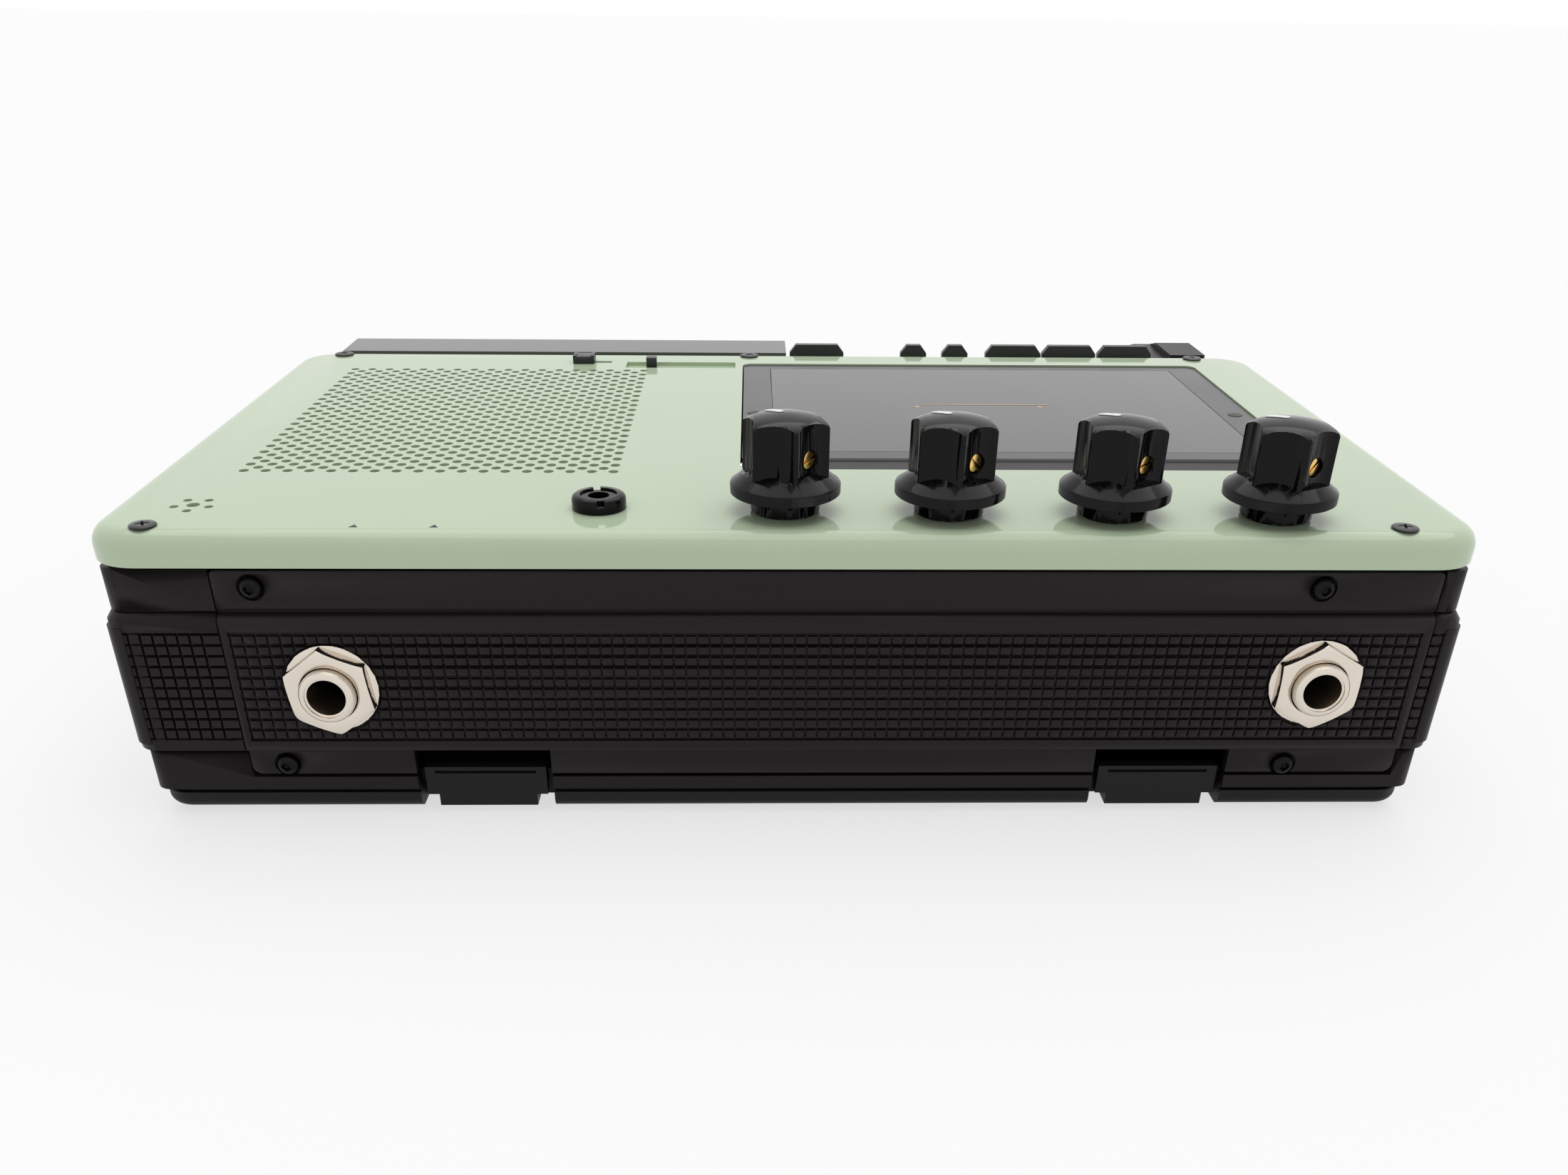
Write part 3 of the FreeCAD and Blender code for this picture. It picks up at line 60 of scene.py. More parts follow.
# %% Camera at the photograph's place
MM = 0.001
FOCAL, WIDTH, HEIGHT = 1844.42, 2200, 1648
MIDDLE_ROW = 1141.09
SENSOR_WIDTH = 36
CAMERA_PLACE = (-6.378, -284.604, 125.522)
yaw, tilt, roll = 0.0266, 0.5487, 0.0112
ahead = Vector((math.sin(yaw) * math.cos(tilt), math.cos(yaw) * math.cos(tilt), -math.sin(tilt)))
level_right = Vector((math.cos(yaw), -math.sin(yaw), 0))
level_above = level_right.cross(ahead)
right = math.cos(roll) * level_right + math.sin(roll) * level_above
above = math.cos(roll) * level_above - math.sin(roll) * level_right
camera_data = bpy.data.cameras.new("photo_camera")
camera = bpy.data.objects.new("photo_camera", camera_data)
bpy.context.scene.collection.objects.link(camera)
camera_data.lens = FOCAL / WIDTH * SENSOR_WIDTH
camera_data.sensor_width = SENSOR_WIDTH
camera_data.shift_y = (MIDDLE_ROW - HEIGHT / 2) / WIDTH
camera_data.clip_start, camera_data.clip_end = 0.01, 50
axes = Matrix((right, above, -ahead)).transposed()
camera.matrix_world = Matrix.Translation(Vector(CAMERA_PLACE) * MM) @ axes.to_4x4()
bpy.context.scene.camera = camera
print("lens", round(camera_data.lens, 2), "shift", round(camera_data.shift_y, 4))

# %% [markdown]
# The floor
#
# The unit stands on a white sweep. To the eye the floor glows by two thirds, which keeps it white,
# and the last third takes the soft shadow of the unit. The unit mirrors the glow but isn't lit by it.


# %% Floor with a glow for the eye
def shows_background(tree):
    """One for rays that show the background to the eye: straight, mirrored or through glass."""
    paths = tree.nodes.new("ShaderNodeLightPath")
    found = paths.outputs["Is Camera Ray"]
    for kind in ("Is Transmission Ray", "Is Glossy Ray"):
        either = tree.nodes.new("ShaderNodeMath")
        either.operation = "MAXIMUM"
        tree.links.new(found, either.inputs[0])
        tree.links.new(paths.outputs[kind], either.inputs[1])
        found = either.outputs[0]
    return found


FLOOR_SIZE = 60
FLOOR_GREY = 0.955
GLOW_SHARE = 0.66
bpy.context.scene.view_settings.view_transform = "Standard"
bpy.ops.mesh.primitive_plane_add(size=FLOOR_SIZE, location=(0, 0, 0))
floor = bpy.context.object
floor.name = "pale_floor"
floor_paint = bpy.data.materials.new("pale_floor")
floor_paint.use_nodes = True
floor.data.materials.append(floor_paint)
floor_tree = floor_paint.node_tree
floor_shader = floor_tree.nodes["Principled BSDF"]
floor_shader.inputs["Base Color"].default_value = (FLOOR_GREY, FLOOR_GREY, FLOOR_GREY, 1)
floor_shader.inputs["Roughness"].default_value = 0.9
floor_shader.inputs["Specular IOR Level"].default_value = 0.0
glow = floor_tree.nodes.new("ShaderNodeEmission")
share = floor_tree.nodes.new("ShaderNodeMath")
share.operation = "MULTIPLY"
floor_tree.links.new(shows_background(floor_tree), share.inputs[0])
share.inputs[1].default_value = GLOW_SHARE
blend = floor_tree.nodes.new("ShaderNodeMixShader")
floor_tree.links.new(share.outputs[0], blend.inputs["Fac"])
floor_tree.links.new(floor_shader.outputs[0], blend.inputs[1])
floor_tree.links.new(glow.outputs[0], blend.inputs[2])
floor_tree.links.new(blend.outputs[0], floor_tree.nodes["Material Output"].inputs["Surface"])
print("floor made, glow share", GLOW_SHARE)

# %% [markdown]
# The light
#
# A wide sun with a big angle stands for the ceiling light, because its strength is the same
# everywhere, and the world fills in from all sides. The upper face of the panel is brighter than
# the front for that reason. The world is plain white only where the eye sees it.

# %% World and sun
FILL_LIGHT = 0.52
SUN_STRENGTH = 1.5
SUN_SPREAD = 70
world = bpy.data.worlds.new("studio")
bpy.context.scene.world = world
world.use_nodes = True
world_tree = world.node_tree
sky = world_tree.nodes["Background"]
sky.inputs["Color"].default_value = (1, 1, 1, 1)
brightness = world_tree.nodes.new("ShaderNodeMapRange")
world_tree.links.new(shows_background(world_tree), brightness.inputs["Value"])
brightness.inputs["To Min"].default_value = FILL_LIGHT
brightness.inputs["To Max"].default_value = 1.0
world_tree.links.new(brightness.outputs["Result"], sky.inputs["Strength"])
sun_data = bpy.data.lights.new("ceiling", "SUN")
sun_data.energy = SUN_STRENGTH
sun_data.angle = math.radians(SUN_SPREAD)
sun = bpy.data.objects.new("ceiling", sun_data)
sun.rotation_euler = (math.radians(-18), math.radians(6), 0)
bpy.context.scene.collection.objects.link(sun)
print("world fill", FILL_LIGHT, "sun", SUN_STRENGTH)

# %% [markdown]
# A maker for finishes
#
# Every finish starts as one Principled shader with a fine bump and a little colour change, read
# from Object coordinates so that the pattern stays still on the piece. The helper takes the grain
# size in millimetres, which keeps the numbers close to what a ruler would say.


# %% Helper for a finish
CLOUD_SCALE = 45
BUMP_DEPTH = 0.05


def finish_of(name, colour, rough, specular=0.5, metal=0.0, grain_mm=1.0, bump=0.1, tint=0.06,
              rough_spread=0.06):
    """A finish whose colour, roughness and relief all vary a little over the piece."""
    paint = bpy.data.materials.new(name)
    paint.use_nodes = True
    nodes, links = paint.node_tree.nodes, paint.node_tree.links
    shader = nodes["Principled BSDF"]
    shader.inputs["Metallic"].default_value = metal
    shader.inputs["Specular IOR Level"].default_value = specular
    where = nodes.new("ShaderNodeTexCoord")
    grain = nodes.new("ShaderNodeTexNoise")
    grain.inputs["Scale"].default_value = 1 / (grain_mm * MM)
    grain.inputs["Detail"].default_value = 4
    links.new(where.outputs["Object"], grain.inputs["Vector"])
    cloud = nodes.new("ShaderNodeTexNoise")
    cloud.inputs["Scale"].default_value = CLOUD_SCALE
    links.new(where.outputs["Object"], cloud.inputs["Vector"])
    mix = nodes.new("ShaderNodeMix")
    mix.data_type = "RGBA"
    mix.inputs["A"].default_value = tuple(c * (1 - tint) for c in colour) + (1,)
    mix.inputs["B"].default_value = tuple(min(1, c * (1 + tint)) for c in colour) + (1,)
    links.new(cloud.outputs["Fac"], mix.inputs["Factor"])
    links.new(mix.outputs["Result"], shader.inputs["Base Color"])
    spread = nodes.new("ShaderNodeMapRange")
    links.new(cloud.outputs["Fac"], spread.inputs["Value"])
    spread.inputs["To Min"].default_value = max(0.0, rough - rough_spread)
    spread.inputs["To Max"].default_value = rough + rough_spread
    links.new(spread.outputs["Result"], shader.inputs["Roughness"])
    relief = nodes.new("ShaderNodeBump")
    relief.inputs["Strength"].default_value = bump
    relief.inputs["Distance"].default_value = BUMP_DEPTH * MM
    links.new(grain.outputs["Fac"], relief.inputs["Height"])
    links.new(relief.outputs["Normal"], shader.inputs["Normal"])
    return paint


print("finish helper ready")

# %% [markdown]
# The finishes
#
# The panel is sprayed sage green under clear lacquer, so the knobs mirror in it. The case is
# moulded black plastic, the knobs are polished black, and the jacks are nickel. Colours were
# matched to the photograph.

# %% The list of finishes
FINISHES = {
    "green_paint": finish_of("sage_lacquer", (0.515, 0.625, 0.44), 0.07, 0.4, grain_mm=0.6, bump=0.05,
                             tint=0.015, rough_spread=0.02),
    "case_plastic": finish_of("moulded_black", (0.0115, 0.0078, 0.0100), 0.38, 0.18, grain_mm=0.35,
                              bump=0.12),
    "cover_plastic": finish_of("grained_black", (0.009, 0.0085, 0.009), 0.5, 0.22, grain_mm=0.5, bump=0.5),
    "key_plastic": finish_of("key_black", (0.016, 0.016, 0.018), 0.3, 0.4, grain_mm=0.3, bump=0.1),
    "black_gloss": finish_of("polished_black", (0.0045, 0.0036, 0.0042), 0.11, 0.14, grain_mm=0.8, bump=0.03,
                             rough_spread=0.03),
    "smoked_glass": finish_of("smoked_acrylic", (0.02, 0.021, 0.023), 0.04, 0.8, grain_mm=2.0, bump=0.01,
                              rough_spread=0.01),
    "jack_metal": finish_of("nickel", (0.72, 0.65, 0.57), 0.18, metal=1.0, grain_mm=0.3, bump=0.05,
                            rough_spread=0.05),
    "screw_steel": finish_of("black_steel", (0.020, 0.017, 0.017), 0.3, 0.4, metal=0.2, grain_mm=0.3,
                             bump=0.15),
    "dark_steel": finish_of("dark_steel", (0.05, 0.05, 0.052), 0.45, 0.4, metal=0.5, grain_mm=0.4, bump=0.2),
    "brass": finish_of("brass", (0.88, 0.58, 0.20), 0.2, metal=1.0, grain_mm=0.4, bump=0.02,
                       rough_spread=0.05),
    "belt_rubber": finish_of("black_rubber", (0.012, 0.012, 0.012), 0.7, 0.3, grain_mm=0.3, bump=0.3),
    "cell_wrap": finish_of("cell_wrap", (0.25, 0.20, 0.15), 0.35, metal=0.5, grain_mm=0.6, bump=0.1),
    "board": finish_of("board_green", (0.05, 0.14, 0.07), 0.5, grain_mm=0.7, bump=0.4, tint=0.2),
}
slot_of = {row["node"]: row["material_slot"] for row in frame["record"]["subparts"]}
for name, piece in frame["nodes"].items():
    piece.data.materials.clear()
    piece.data.materials.append(FINISHES[slot_of[name]])
print("finishes:", len(FINISHES))

# %% Finishes of single pieces
door_black = finish_of("door_black", (0.016, 0.0135, 0.0155), 0.24, 0.5, grain_mm=0.3, bump=0.06)
strip_black = finish_of("strip_black", (0.02, 0.02, 0.019), 0.1, 1.0, grain_mm=0.6, bump=0.03,
                        rough_spread=0.03)
pointer_white = finish_of("pointer_white", (0.85, 0.85, 0.83), 0.35, grain_mm=0.4, bump=0.05, tint=0.02)
gold_print = finish_of("gold_print", (0.55, 0.38, 0.16), 0.3, 0.5, grain_mm=0.4, bump=0.05)
frame["nodes"]["door_frame"].data.materials[0] = door_black
frame["nodes"]["nameplate_strip"].data.materials[0] = strip_black
print("the door frame and the strip have finishes of their own")

# %% [markdown]
# Tools of the bench
#
# The new pieces are made with the same few moves: clear the selection, add a primitive at its
# size, pick edges by their place, and finish with modifiers that are applied at once. Each move
# gets a short helper, so that the cells about the pieces stay readable. Sizes go into a helper in
# millimetres and angles in degrees. Only use_modifier takes its settings as they are, in metres
# and radians.


# %% Helpers that select and place
def clear_selection():
    """Leave edit mode and select nothing."""
    if bpy.context.object and bpy.context.object.mode != "OBJECT":
        bpy.ops.object.mode_set(mode="OBJECT")
    bpy.ops.object.select_all(action="DESELECT")


def take_up(piece):
    """Select one piece only, and make it the active one."""
    clear_selection()
    piece.select_set(True)
    bpy.context.view_layer.objects.active = piece


def settle(piece):
    """Put the object's place into its mesh, so that the object sits at the origin."""
    take_up(piece)
    bpy.ops.object.transform_apply(location=True, rotation=True, scale=True)
    return piece


def twin(piece, name, shift=(0, 0, 0), turn=0.0):
    """A copy with its own mesh, turned about Z and then moved."""
    copy = piece.copy()
    copy.data = piece.data.copy()
    copy.name = name
    bpy.context.scene.collection.objects.link(copy)
    copy.rotation_euler = (0, 0, math.radians(turn))
    copy.location = [v * MM for v in shift]
    return settle(copy)


def face_near(piece, place=(0, 0, 0)):
    """Lay a piece that stands up along Z over towards the jack side, at a place."""
    piece.rotation_euler = (math.radians(90), 0, 0)
    piece.location = [v * MM for v in place]
    return settle(piece)


def throw_away(*pieces):
    """Delete tools and models that are no longer needed."""
    for piece in pieces:
        bpy.data.objects.remove(piece)


print("placing helpers ready")


# %% Helpers that make a form
def block(name, low, high):
    """A block from corner to corner."""
    clear_selection()
    middle = [(a + b) / 2 * MM for a, b in zip(low, high)]
    bpy.ops.mesh.primitive_cube_add(size=1, location=middle)
    piece = bpy.context.object
    piece.name = name
    piece.scale = [(b - a) * MM for a, b in zip(low, high)]
    return settle(piece)


def drum(name, place, radius, length, sides=48, lean=(0, 0, 0)):
    """A round bar centred on a place, its axis along Z before it leans."""
    clear_selection()
    bpy.ops.mesh.primitive_cylinder_add(vertices=sides, radius=radius * MM, depth=length * MM,
                                        location=[v * MM for v in place],
                                        rotation=[math.radians(v) for v in lean])
    piece = bpy.context.object
    piece.name = name
    return settle(piece)


def stack(name, rings, sides=96):
    """A turned piece: one ring is extruded and resized through every (radius, height)."""
    clear_selection()
    first_radius, first_height = rings[0]
    bpy.ops.mesh.primitive_circle_add(vertices=sides, radius=first_radius * MM, fill_type="NGON",
                                      location=(0, 0, first_height * MM))
    piece = bpy.context.object
    piece.name = name
    settle(piece)
    bpy.ops.object.mode_set(mode="EDIT")
    bpy.ops.mesh.select_all(action="SELECT")
    for (before, low), (radius, height) in zip(rings, rings[1:]):
        bpy.ops.mesh.extrude_region_move(TRANSFORM_OT_translate={"value": (0, 0, (height - low) * MM)})
        share = radius / before
        bpy.ops.transform.resize(value=(share, share, 1), center_override=(0, 0, height * MM))
    turn_normals_out()
    return piece


def turn_normals_out():
    """Make the normals of the mesh in edit mode point outward, and leave edit mode."""
    bpy.ops.mesh.select_all(action="SELECT")
    bpy.ops.mesh.normals_make_consistent(inside=False)
    bpy.ops.object.mode_set(mode="OBJECT")


print("form helpers ready")


# %% Helpers that change a form
def round_edges(piece, wanted, width, rounds):
    """Bevel the edges whose two ends, in millimetres, pass the test."""
    take_up(piece)
    bpy.ops.object.mode_set(mode="EDIT")
    bpy.ops.mesh.select_mode(type="EDGE")
    bpy.ops.mesh.select_all(action="DESELECT")
    bpy.ops.object.mode_set(mode="OBJECT")
    for edge in piece.data.edges:
        edge.select = wanted(*(piece.data.vertices[v].co / MM for v in edge.vertices))
    bpy.ops.object.mode_set(mode="EDIT")
    bpy.ops.mesh.bevel(offset=width * MM, segments=rounds, affect="EDGES")
    bpy.ops.object.mode_set(mode="OBJECT")
    return piece


def upright(a, b):
    """Test for round_edges: the edge stands up."""
    return abs(a.z - b.z) > 1


def join(name, pieces):
    """Make one object of several, under a new name."""
    clear_selection()
    for piece in pieces:
        piece.select_set(True)
    bpy.context.view_layer.objects.active = pieces[0]
    bpy.ops.object.join()
    pieces[0].name = name
    return pieces[0]


def use_modifier(piece, kind, **settings):
    """Add a modifier, set it and apply it."""
    take_up(piece)
    modifier = piece.modifiers.new(kind.lower(), kind)
    for key, value in settings.items():
        setattr(modifier, key, value)
    bpy.ops.object.modifier_apply(modifier=modifier.name)
    return piece


def row_of(piece, step, count):
    """Repeat a piece along a step."""
    return use_modifier(piece, "ARRAY", count=count, use_relative_offset=False,
                        use_constant_offset=True, constant_offset_displace=[v * MM for v in step])


def carve(piece, tool, way="DIFFERENCE"):
    """Cut a tool out of the piece, or melt it in, and throw the tool away."""
    use_modifier(piece, "BOOLEAN", object=tool, operation=way, solver="EXACT")
    throw_away(tool)
    return piece


def smooth(piece, angle=30):
    """Shade the flat steps under this angle as one surface."""
    take_up(piece)
    bpy.ops.object.shade_smooth_by_angle(angle=math.radians(angle))
    return piece


def soften(piece, width, angle=35, rounds=2):
    """Round the sharp edges a little and smooth the rest."""
    use_modifier(piece, "BEVEL", width=width * MM, segments=rounds, limit_method="ANGLE",
                 angle_limit=math.radians(angle), miter_outer="MITER_ARC")
    return smooth(piece, angle)


print("shaping helpers ready")


# %% Helper that dresses a piece
def dress(piece, slot, body, *stands_for, paint=None):
    """Give a piece its finish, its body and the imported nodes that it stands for."""
    piece.data.materials.clear()
    piece.data.materials.append(paint or FINISHES[slot])
    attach(piece, body)
    if stands_for:
        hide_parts(*stands_for)
    return piece


print("dressing helper ready")

# %% [markdown]
# The knobs
#
# Each knob is a pressed phenolic cap: a collar, a thin skirt with a cone over it, and a body with
# six hollow flutes under a low dome. The turned forms are stacked rings. The flutes are cut with
# six round bars, which leaves the sharp ridges and the scalloped edge of the dome by itself.

# %% One knob at the origin
PANEL_TOP = 53.2
FLUTES, FLUTE_OUT, FLUTE_RADIUS = 6, 14.3, 8.6
GRUB_HEIGHT = 9.6
DOME = [(7.45, 14.3), (7.2, 14.75), (6.5, 15.15), (5.3, 15.55), (3.9, 15.85), (2.3, 16.08),
        (0.9, 16.2), (0.05, 16.22)]
SKIRT = [(5.6, 0.1), (5.85, 0.4), (5.85, 3.1), (6.6, 3.15), (9.1, 3.2), (9.3, 3.36), (9.3, 4.8),
         (9.18, 4.98), (8.95, 5.1), (7.4, 6.3), (5.7, 7.1)]
knob_model = stack("knob_model", [(7.45, 4.2)] + DOME)
flute_bars = []
for flute in range(FLUTES):
    angle = math.radians(360 / FLUTES * flute)
    place = (FLUTE_OUT * math.cos(angle), FLUTE_OUT * math.sin(angle), 11)
    flute_bars.append(drum("flute_bar", place, FLUTE_RADIUS, 16, sides=128))
carve(knob_model, join("flute_bars", flute_bars))
carve(knob_model, stack("knob_skirt", SKIRT), "UNION")
carve(knob_model, drum("grub_hole", (6, 0, GRUB_HEIGHT), 1.65, 8, sides=40, lean=(0, 90, 0)))
carve(knob_model, drum("shaft_bore", (0, 0, 5), 3.08, 11.7, sides=40))
carve(knob_model, drum("collar_bore", (0, 0, 0.8), 5.1, 3.6, sides=40))
soften(knob_model, 0.14, angle=32, rounds=2)
print("knob faces:", len(knob_model.data.polygons))


# %% [markdown]
# The pointer and the set screw
#
# The white pointer is a thin strip laid over the dome: a fine grid takes the height of the dome
# under each of its corners and then gets its thickness. The set screw is a short bar with a slot.

# %% Pointer strip
POINTER_START, POINTER_LENGTH, POINTER_HALF, POINTER_LIFT = 0.9, 4.2, 0.7, 0.07


def dome_height(radius):
    """Height of the dome at a distance from its axis."""
    for (far, low), (near, high) in zip(DOME, DOME[1:]):
        if near <= radius <= far:
            return low + (far - radius) / (far - near) * (high - low)
    return DOME[-1][1]


def half_width(along):
    """Half the width of the strip at a distance from the axis, with round ends."""
    middle = POINTER_START + POINTER_LENGTH / 2
    from_middle = abs((along - middle) / (POINTER_LENGTH / 2 + 0.02))
    return POINTER_HALF * min(1.0, math.sqrt(max(0.0, 1 - from_middle ** 6)))


clear_selection()
bpy.ops.mesh.primitive_grid_add(x_subdivisions=24, y_subdivisions=2, size=1)
pointer_model = bpy.context.object
pointer_model.name = "pointer_model"
for corner in pointer_model.data.vertices:
    along = POINTER_START + (corner.co.x + 0.5) * POINTER_LENGTH
    height = dome_height(math.hypot(along, corner.co.y)) + POINTER_LIFT
    corner.co = Vector((along, corner.co.y * 2 * half_width(along), height)) * MM
use_modifier(pointer_model, "SOLIDIFY", thickness=0.1 * MM, offset=0)
smooth(pointer_model)
print("pointer faces:", len(pointer_model.data.polygons))

# %% Set screw
grub_model = drum("grub_model", (0, 0, -1.0), 1.42, 2.0, sides=36)
carve(grub_model, block("grub_slot", (-2, -0.22, -0.55), (2, 0.22, 1)))
soften(grub_model, 0.12, angle=40)
print("set screw faces:", len(grub_model.data.polygons))

# %% [markdown]
# Four knobs
#
# The ridges of the four knobs do not point the same way, so each copy is turned by its own
# angle. The brass screw sits back in its hole, and its slot stands at a different angle on every
# knob, as a screwdriver leaves it.

# %% Copies of the knob
KNOB_COUNT = 4
CAP_TURNS = (-46.6, -54.2, -55, -58)
SLOT_TURNS = (18, -42, 8, 40)
POINTER_TURN = 131
GRUB_OUT = 5.35


def knob_place(index):
    """Where the axis of a knob meets the panel, in plan."""
    return -1.0 + 27.65 * index, -67.6 - 0.8 * index


def turn_about(axis, degrees):
    """The matrix of a turn about an axis."""
    return Matrix.Rotation(math.radians(degrees), 4, axis)


for index in range(KNOB_COUNT):
    number = index + 1
    x, y = knob_place(index)
    turn = CAP_TURNS[index]
    body = "knob_unit_%d" % number
    cap = twin(knob_model, "knob_cap_%d" % number, (x, y, PANEL_TOP), turn)
    dress(cap, "black_gloss", body, "knob_%d" % number)
    mark = twin(pointer_model, "knob_pointer_%d" % number, (x, y, PANEL_TOP), POINTER_TURN)
    dress(mark, "black_gloss", body, paint=pointer_white)
    grub = twin(grub_model, "grub_screw_%d" % number)
    facing = turn_about("Z", turn) @ turn_about("Y", 90) @ turn_about("Z", 90 + SLOT_TURNS[index])
    out = Vector((math.cos(math.radians(turn)), math.sin(math.radians(turn)), 0)) * GRUB_OUT
    grub.matrix_world = Matrix.Translation((Vector((x, y, PANEL_TOP + GRUB_HEIGHT)) + out) * MM) @ facing
    settle(grub)
    dress(grub, "brass", body, "set_screw_%d" % number)
throw_away(knob_model, pointer_model, grub_model)
print("knobs dressed:", KNOB_COUNT)

# %% [markdown]
# The green panel with its punched grille
#
# On the real unit the panel is one pressed lid, and the grille is punched straight through it in
# two interleaved square lattices, 18 by 21 and 17 by 20. The lid is a block with rounded corners
# and a soft upper edge. Holes that stand apart are gathered into one tool and cut at once. Those
# that would meet inside the tool, such as the long slot and its recess, are cut one after the other.

# %% Panel blank
panel = block("lacquered_panel", (-115.5, -80.8, 47.6), (115.5, 51.2, PANEL_TOP))
round_edges(panel, upright, 9, 12)
round_edges(panel, lambda a, b: min(a.z, b.z) > PANEL_TOP - 0.1, 3.4, 9)
carve(panel, block("under", (-112, -77.3, 47), (112, 47.7, 51.2)))
print("panel faces:", len(panel.data.polygons))

# %% Holes of the panel
CONTROL_JACK = (-32.5, -66.6)
VOICE_X, VOICE_Y, VOICE_RING = -101, -65.9, 3.05
PANEL_SCREWS = [(-105.2, -76.7), (101.4, -76.7), (-105.2, 47.0), (101.4, 47.0), (-7.3, 47.7)]


def hole(name, x, y, radius, sides):
    """A round bar right through the panel."""
    return drum(name, (x, y, 50), radius, 12, sides=sides)


bay_tool = block("bay", (-8.8, -44.6, 46), (99.6, 40.0, 55))
round_edges(bay_tool, upright, 2.2, 6)
cutters = [bay_tool, block("recess", (-36.4, 35.3, 52.4), (-10.6, 41.1, 54)),
           block("slot_one", (-49.1, 40.2, 46), (-40.1, 41.8, 55))]
for index in range(KNOB_COUNT):
    cutters.append(hole("knob_hole", *knob_place(index), 3.65, 32))
cutters.append(hole("control_hole", *CONTROL_JACK, 3.15, 32))
cutters.append(hole("voice_hole", VOICE_X, VOICE_Y, 1.1, 24))
for index in range(5):
    angle = math.radians(72 * index - 90)
    cutters.append(hole("voice_hole", VOICE_X + VOICE_RING * math.cos(angle),
                        VOICE_Y + VOICE_RING * math.sin(angle), 0.75, 20))
for x, y in PANEL_SCREWS:
    cutters.append(hole("screw_hole", x, y, 1.55, 20))
carve(panel, join("panel_tools", cutters))
carve(panel, block("slot_two", (-33.6, 37.2, 46), (-12.2, 38.8, 55)))
print("panel faces with its openings:", len(panel.data.polygons))

# %% The punched lattice
PITCH, PUNCH_RADIUS = 3.94, 0.93
punches = []
for columns, rows, shift in ((18, 21, 0), (17, 20, PITCH / 2)):
    punch = drum("punch", (-98.9 + shift, -46.4 + shift, 52), PUNCH_RADIUS, 6, sides=14)
    row_of(punch, (PITCH, 0, 0), columns)
    row_of(punch, (0, PITCH, 0), rows)
    punches.append(punch)
carve(panel, join("punches", punches))
smooth(panel, 28)
dress(panel, "green_paint", "deck", "top_panel", "speaker_grille")
print("panel faces after punching:", len(panel.data.polygons))

# %% [markdown]
# The service plate and its waffle
#
# The belt of the case is a waffle of small pads. The plate is a thin block with a raised belt whose
# upper edge is sloped, clear rounds for the jacks and two notches for the latches. The grooves are
# cut in two passes: first the upright ones, then the level ones, which are wider and deeper.

# %% Plate blank
PLATE_LEFT, PLATE_RIGHT = -95.3, 109.0
PLATE_FACE, BELT_FACE = -79.3, -80.3
BELT_BOTTOM, BELT_TOP = 13.8, 39.2
SHADOW_LINE = 0.45
JACKS = [(91.1, 26.6), (-78.6, 25.6)]
PLATE_SCREWS = [(-89, 10.5), (89, 10.2), (-89, 43.7), (89, 43.7)]
NOTCHES = (-54.5, 66.8)
ACROSS = (90, 0, 0)
plate = block("waffle_plate", (PLATE_LEFT, PLATE_FACE, 8.6), (PLATE_RIGHT, -77.1, 46.6))
round_edges(plate, lambda a, b: abs(a.y - b.y) > 1 and a.z < 9, 1.6, 5)
round_edges(plate, lambda a, b: abs(a.y - b.y) > 1 and a.z > 46, 0.8, 3)
belt = block("plate_belt", (PLATE_LEFT, BELT_FACE, BELT_BOTTOM), (PLATE_RIGHT, -79.0, BELT_TOP))
round_edges(belt, lambda a, b: min(a.z, b.z) > BELT_TOP - 0.1 and max(a.y, b.y) < BELT_FACE + 0.1, 1.0, 1)
carve(plate, belt, "UNION")
print("plate faces:", len(plate.data.polygons))

# %% Holes and lines of the plate
plate_tools = [block("notch_tool", (x - 12, -82, 7), (x + 12, -76, 13.5)) for x in NOTCHES]
plate_tools += [drum("pad_tool", (x, BELT_FACE, z), 8.4, 2.0, sides=64, lean=ACROSS) for x, z in JACKS]
carve(plate, join("plate_tools", plate_tools))
holes = [drum("jack_hole", (x, -79, z), 4.9, 8, sides=48, lean=ACROSS) for x, z in JACKS]
holes += [drum("screw_pit", (x, PLATE_FACE, z), 2.3, 1.5, sides=40, lean=ACROSS) for x, z in PLATE_SCREWS]
carve(plate, join("plate_holes", holes))
for low in (BELT_TOP, BELT_BOTTOM - SHADOW_LINE):
    carve(plate, block("shadow_line", (-96, -79.9, low), (110, -78.8, low + SHADOW_LINE)))
print("plate faces with its holes:", len(plate.data.polygons))

# %% Grooves of the waffle
GROOVE_TOP, GROOVE_PITCH, GROOVE_COUNT = 35.8, 1.98, 11
GROOVE_LOW = GROOVE_TOP - GROOVE_PITCH * (GROOVE_COUNT - 1)
LOW, HIGH = GROOVE_LOW - 0.3, GROOVE_TOP + 0.3
UPRIGHT_BACK, LEVEL_BACK, LEVEL_HALF = -79.72, -79.5, 0.36
uprights = block("plate_uprights", (-93.95, -81, LOW), (-93.55, UPRIGHT_BACK, HIGH))
carve(plate, row_of(uprights, (2.05, 0, 0), 99))
levels = block("plate_levels", (-94.1, -81, GROOVE_LOW - LEVEL_HALF),
               (107.5, LEVEL_BACK, GROOVE_LOW + LEVEL_HALF))
carve(plate, row_of(levels, (0, 0, GROOVE_PITCH), GROOVE_COUNT))
soften(plate, 0.13, angle=50, rounds=1)
dress(plate, "case_plastic", "deck", "service_plate")
print("plate faces with its pads:", len(plate.data.polygons))

# %% [markdown]
# The case
#
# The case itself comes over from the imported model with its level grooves. A merged copy gets the
# upright grooves beside the plate, along both ends and along the key side. The two near corners of
# the belt are plain on the real unit, so a round block fills the grooves there.

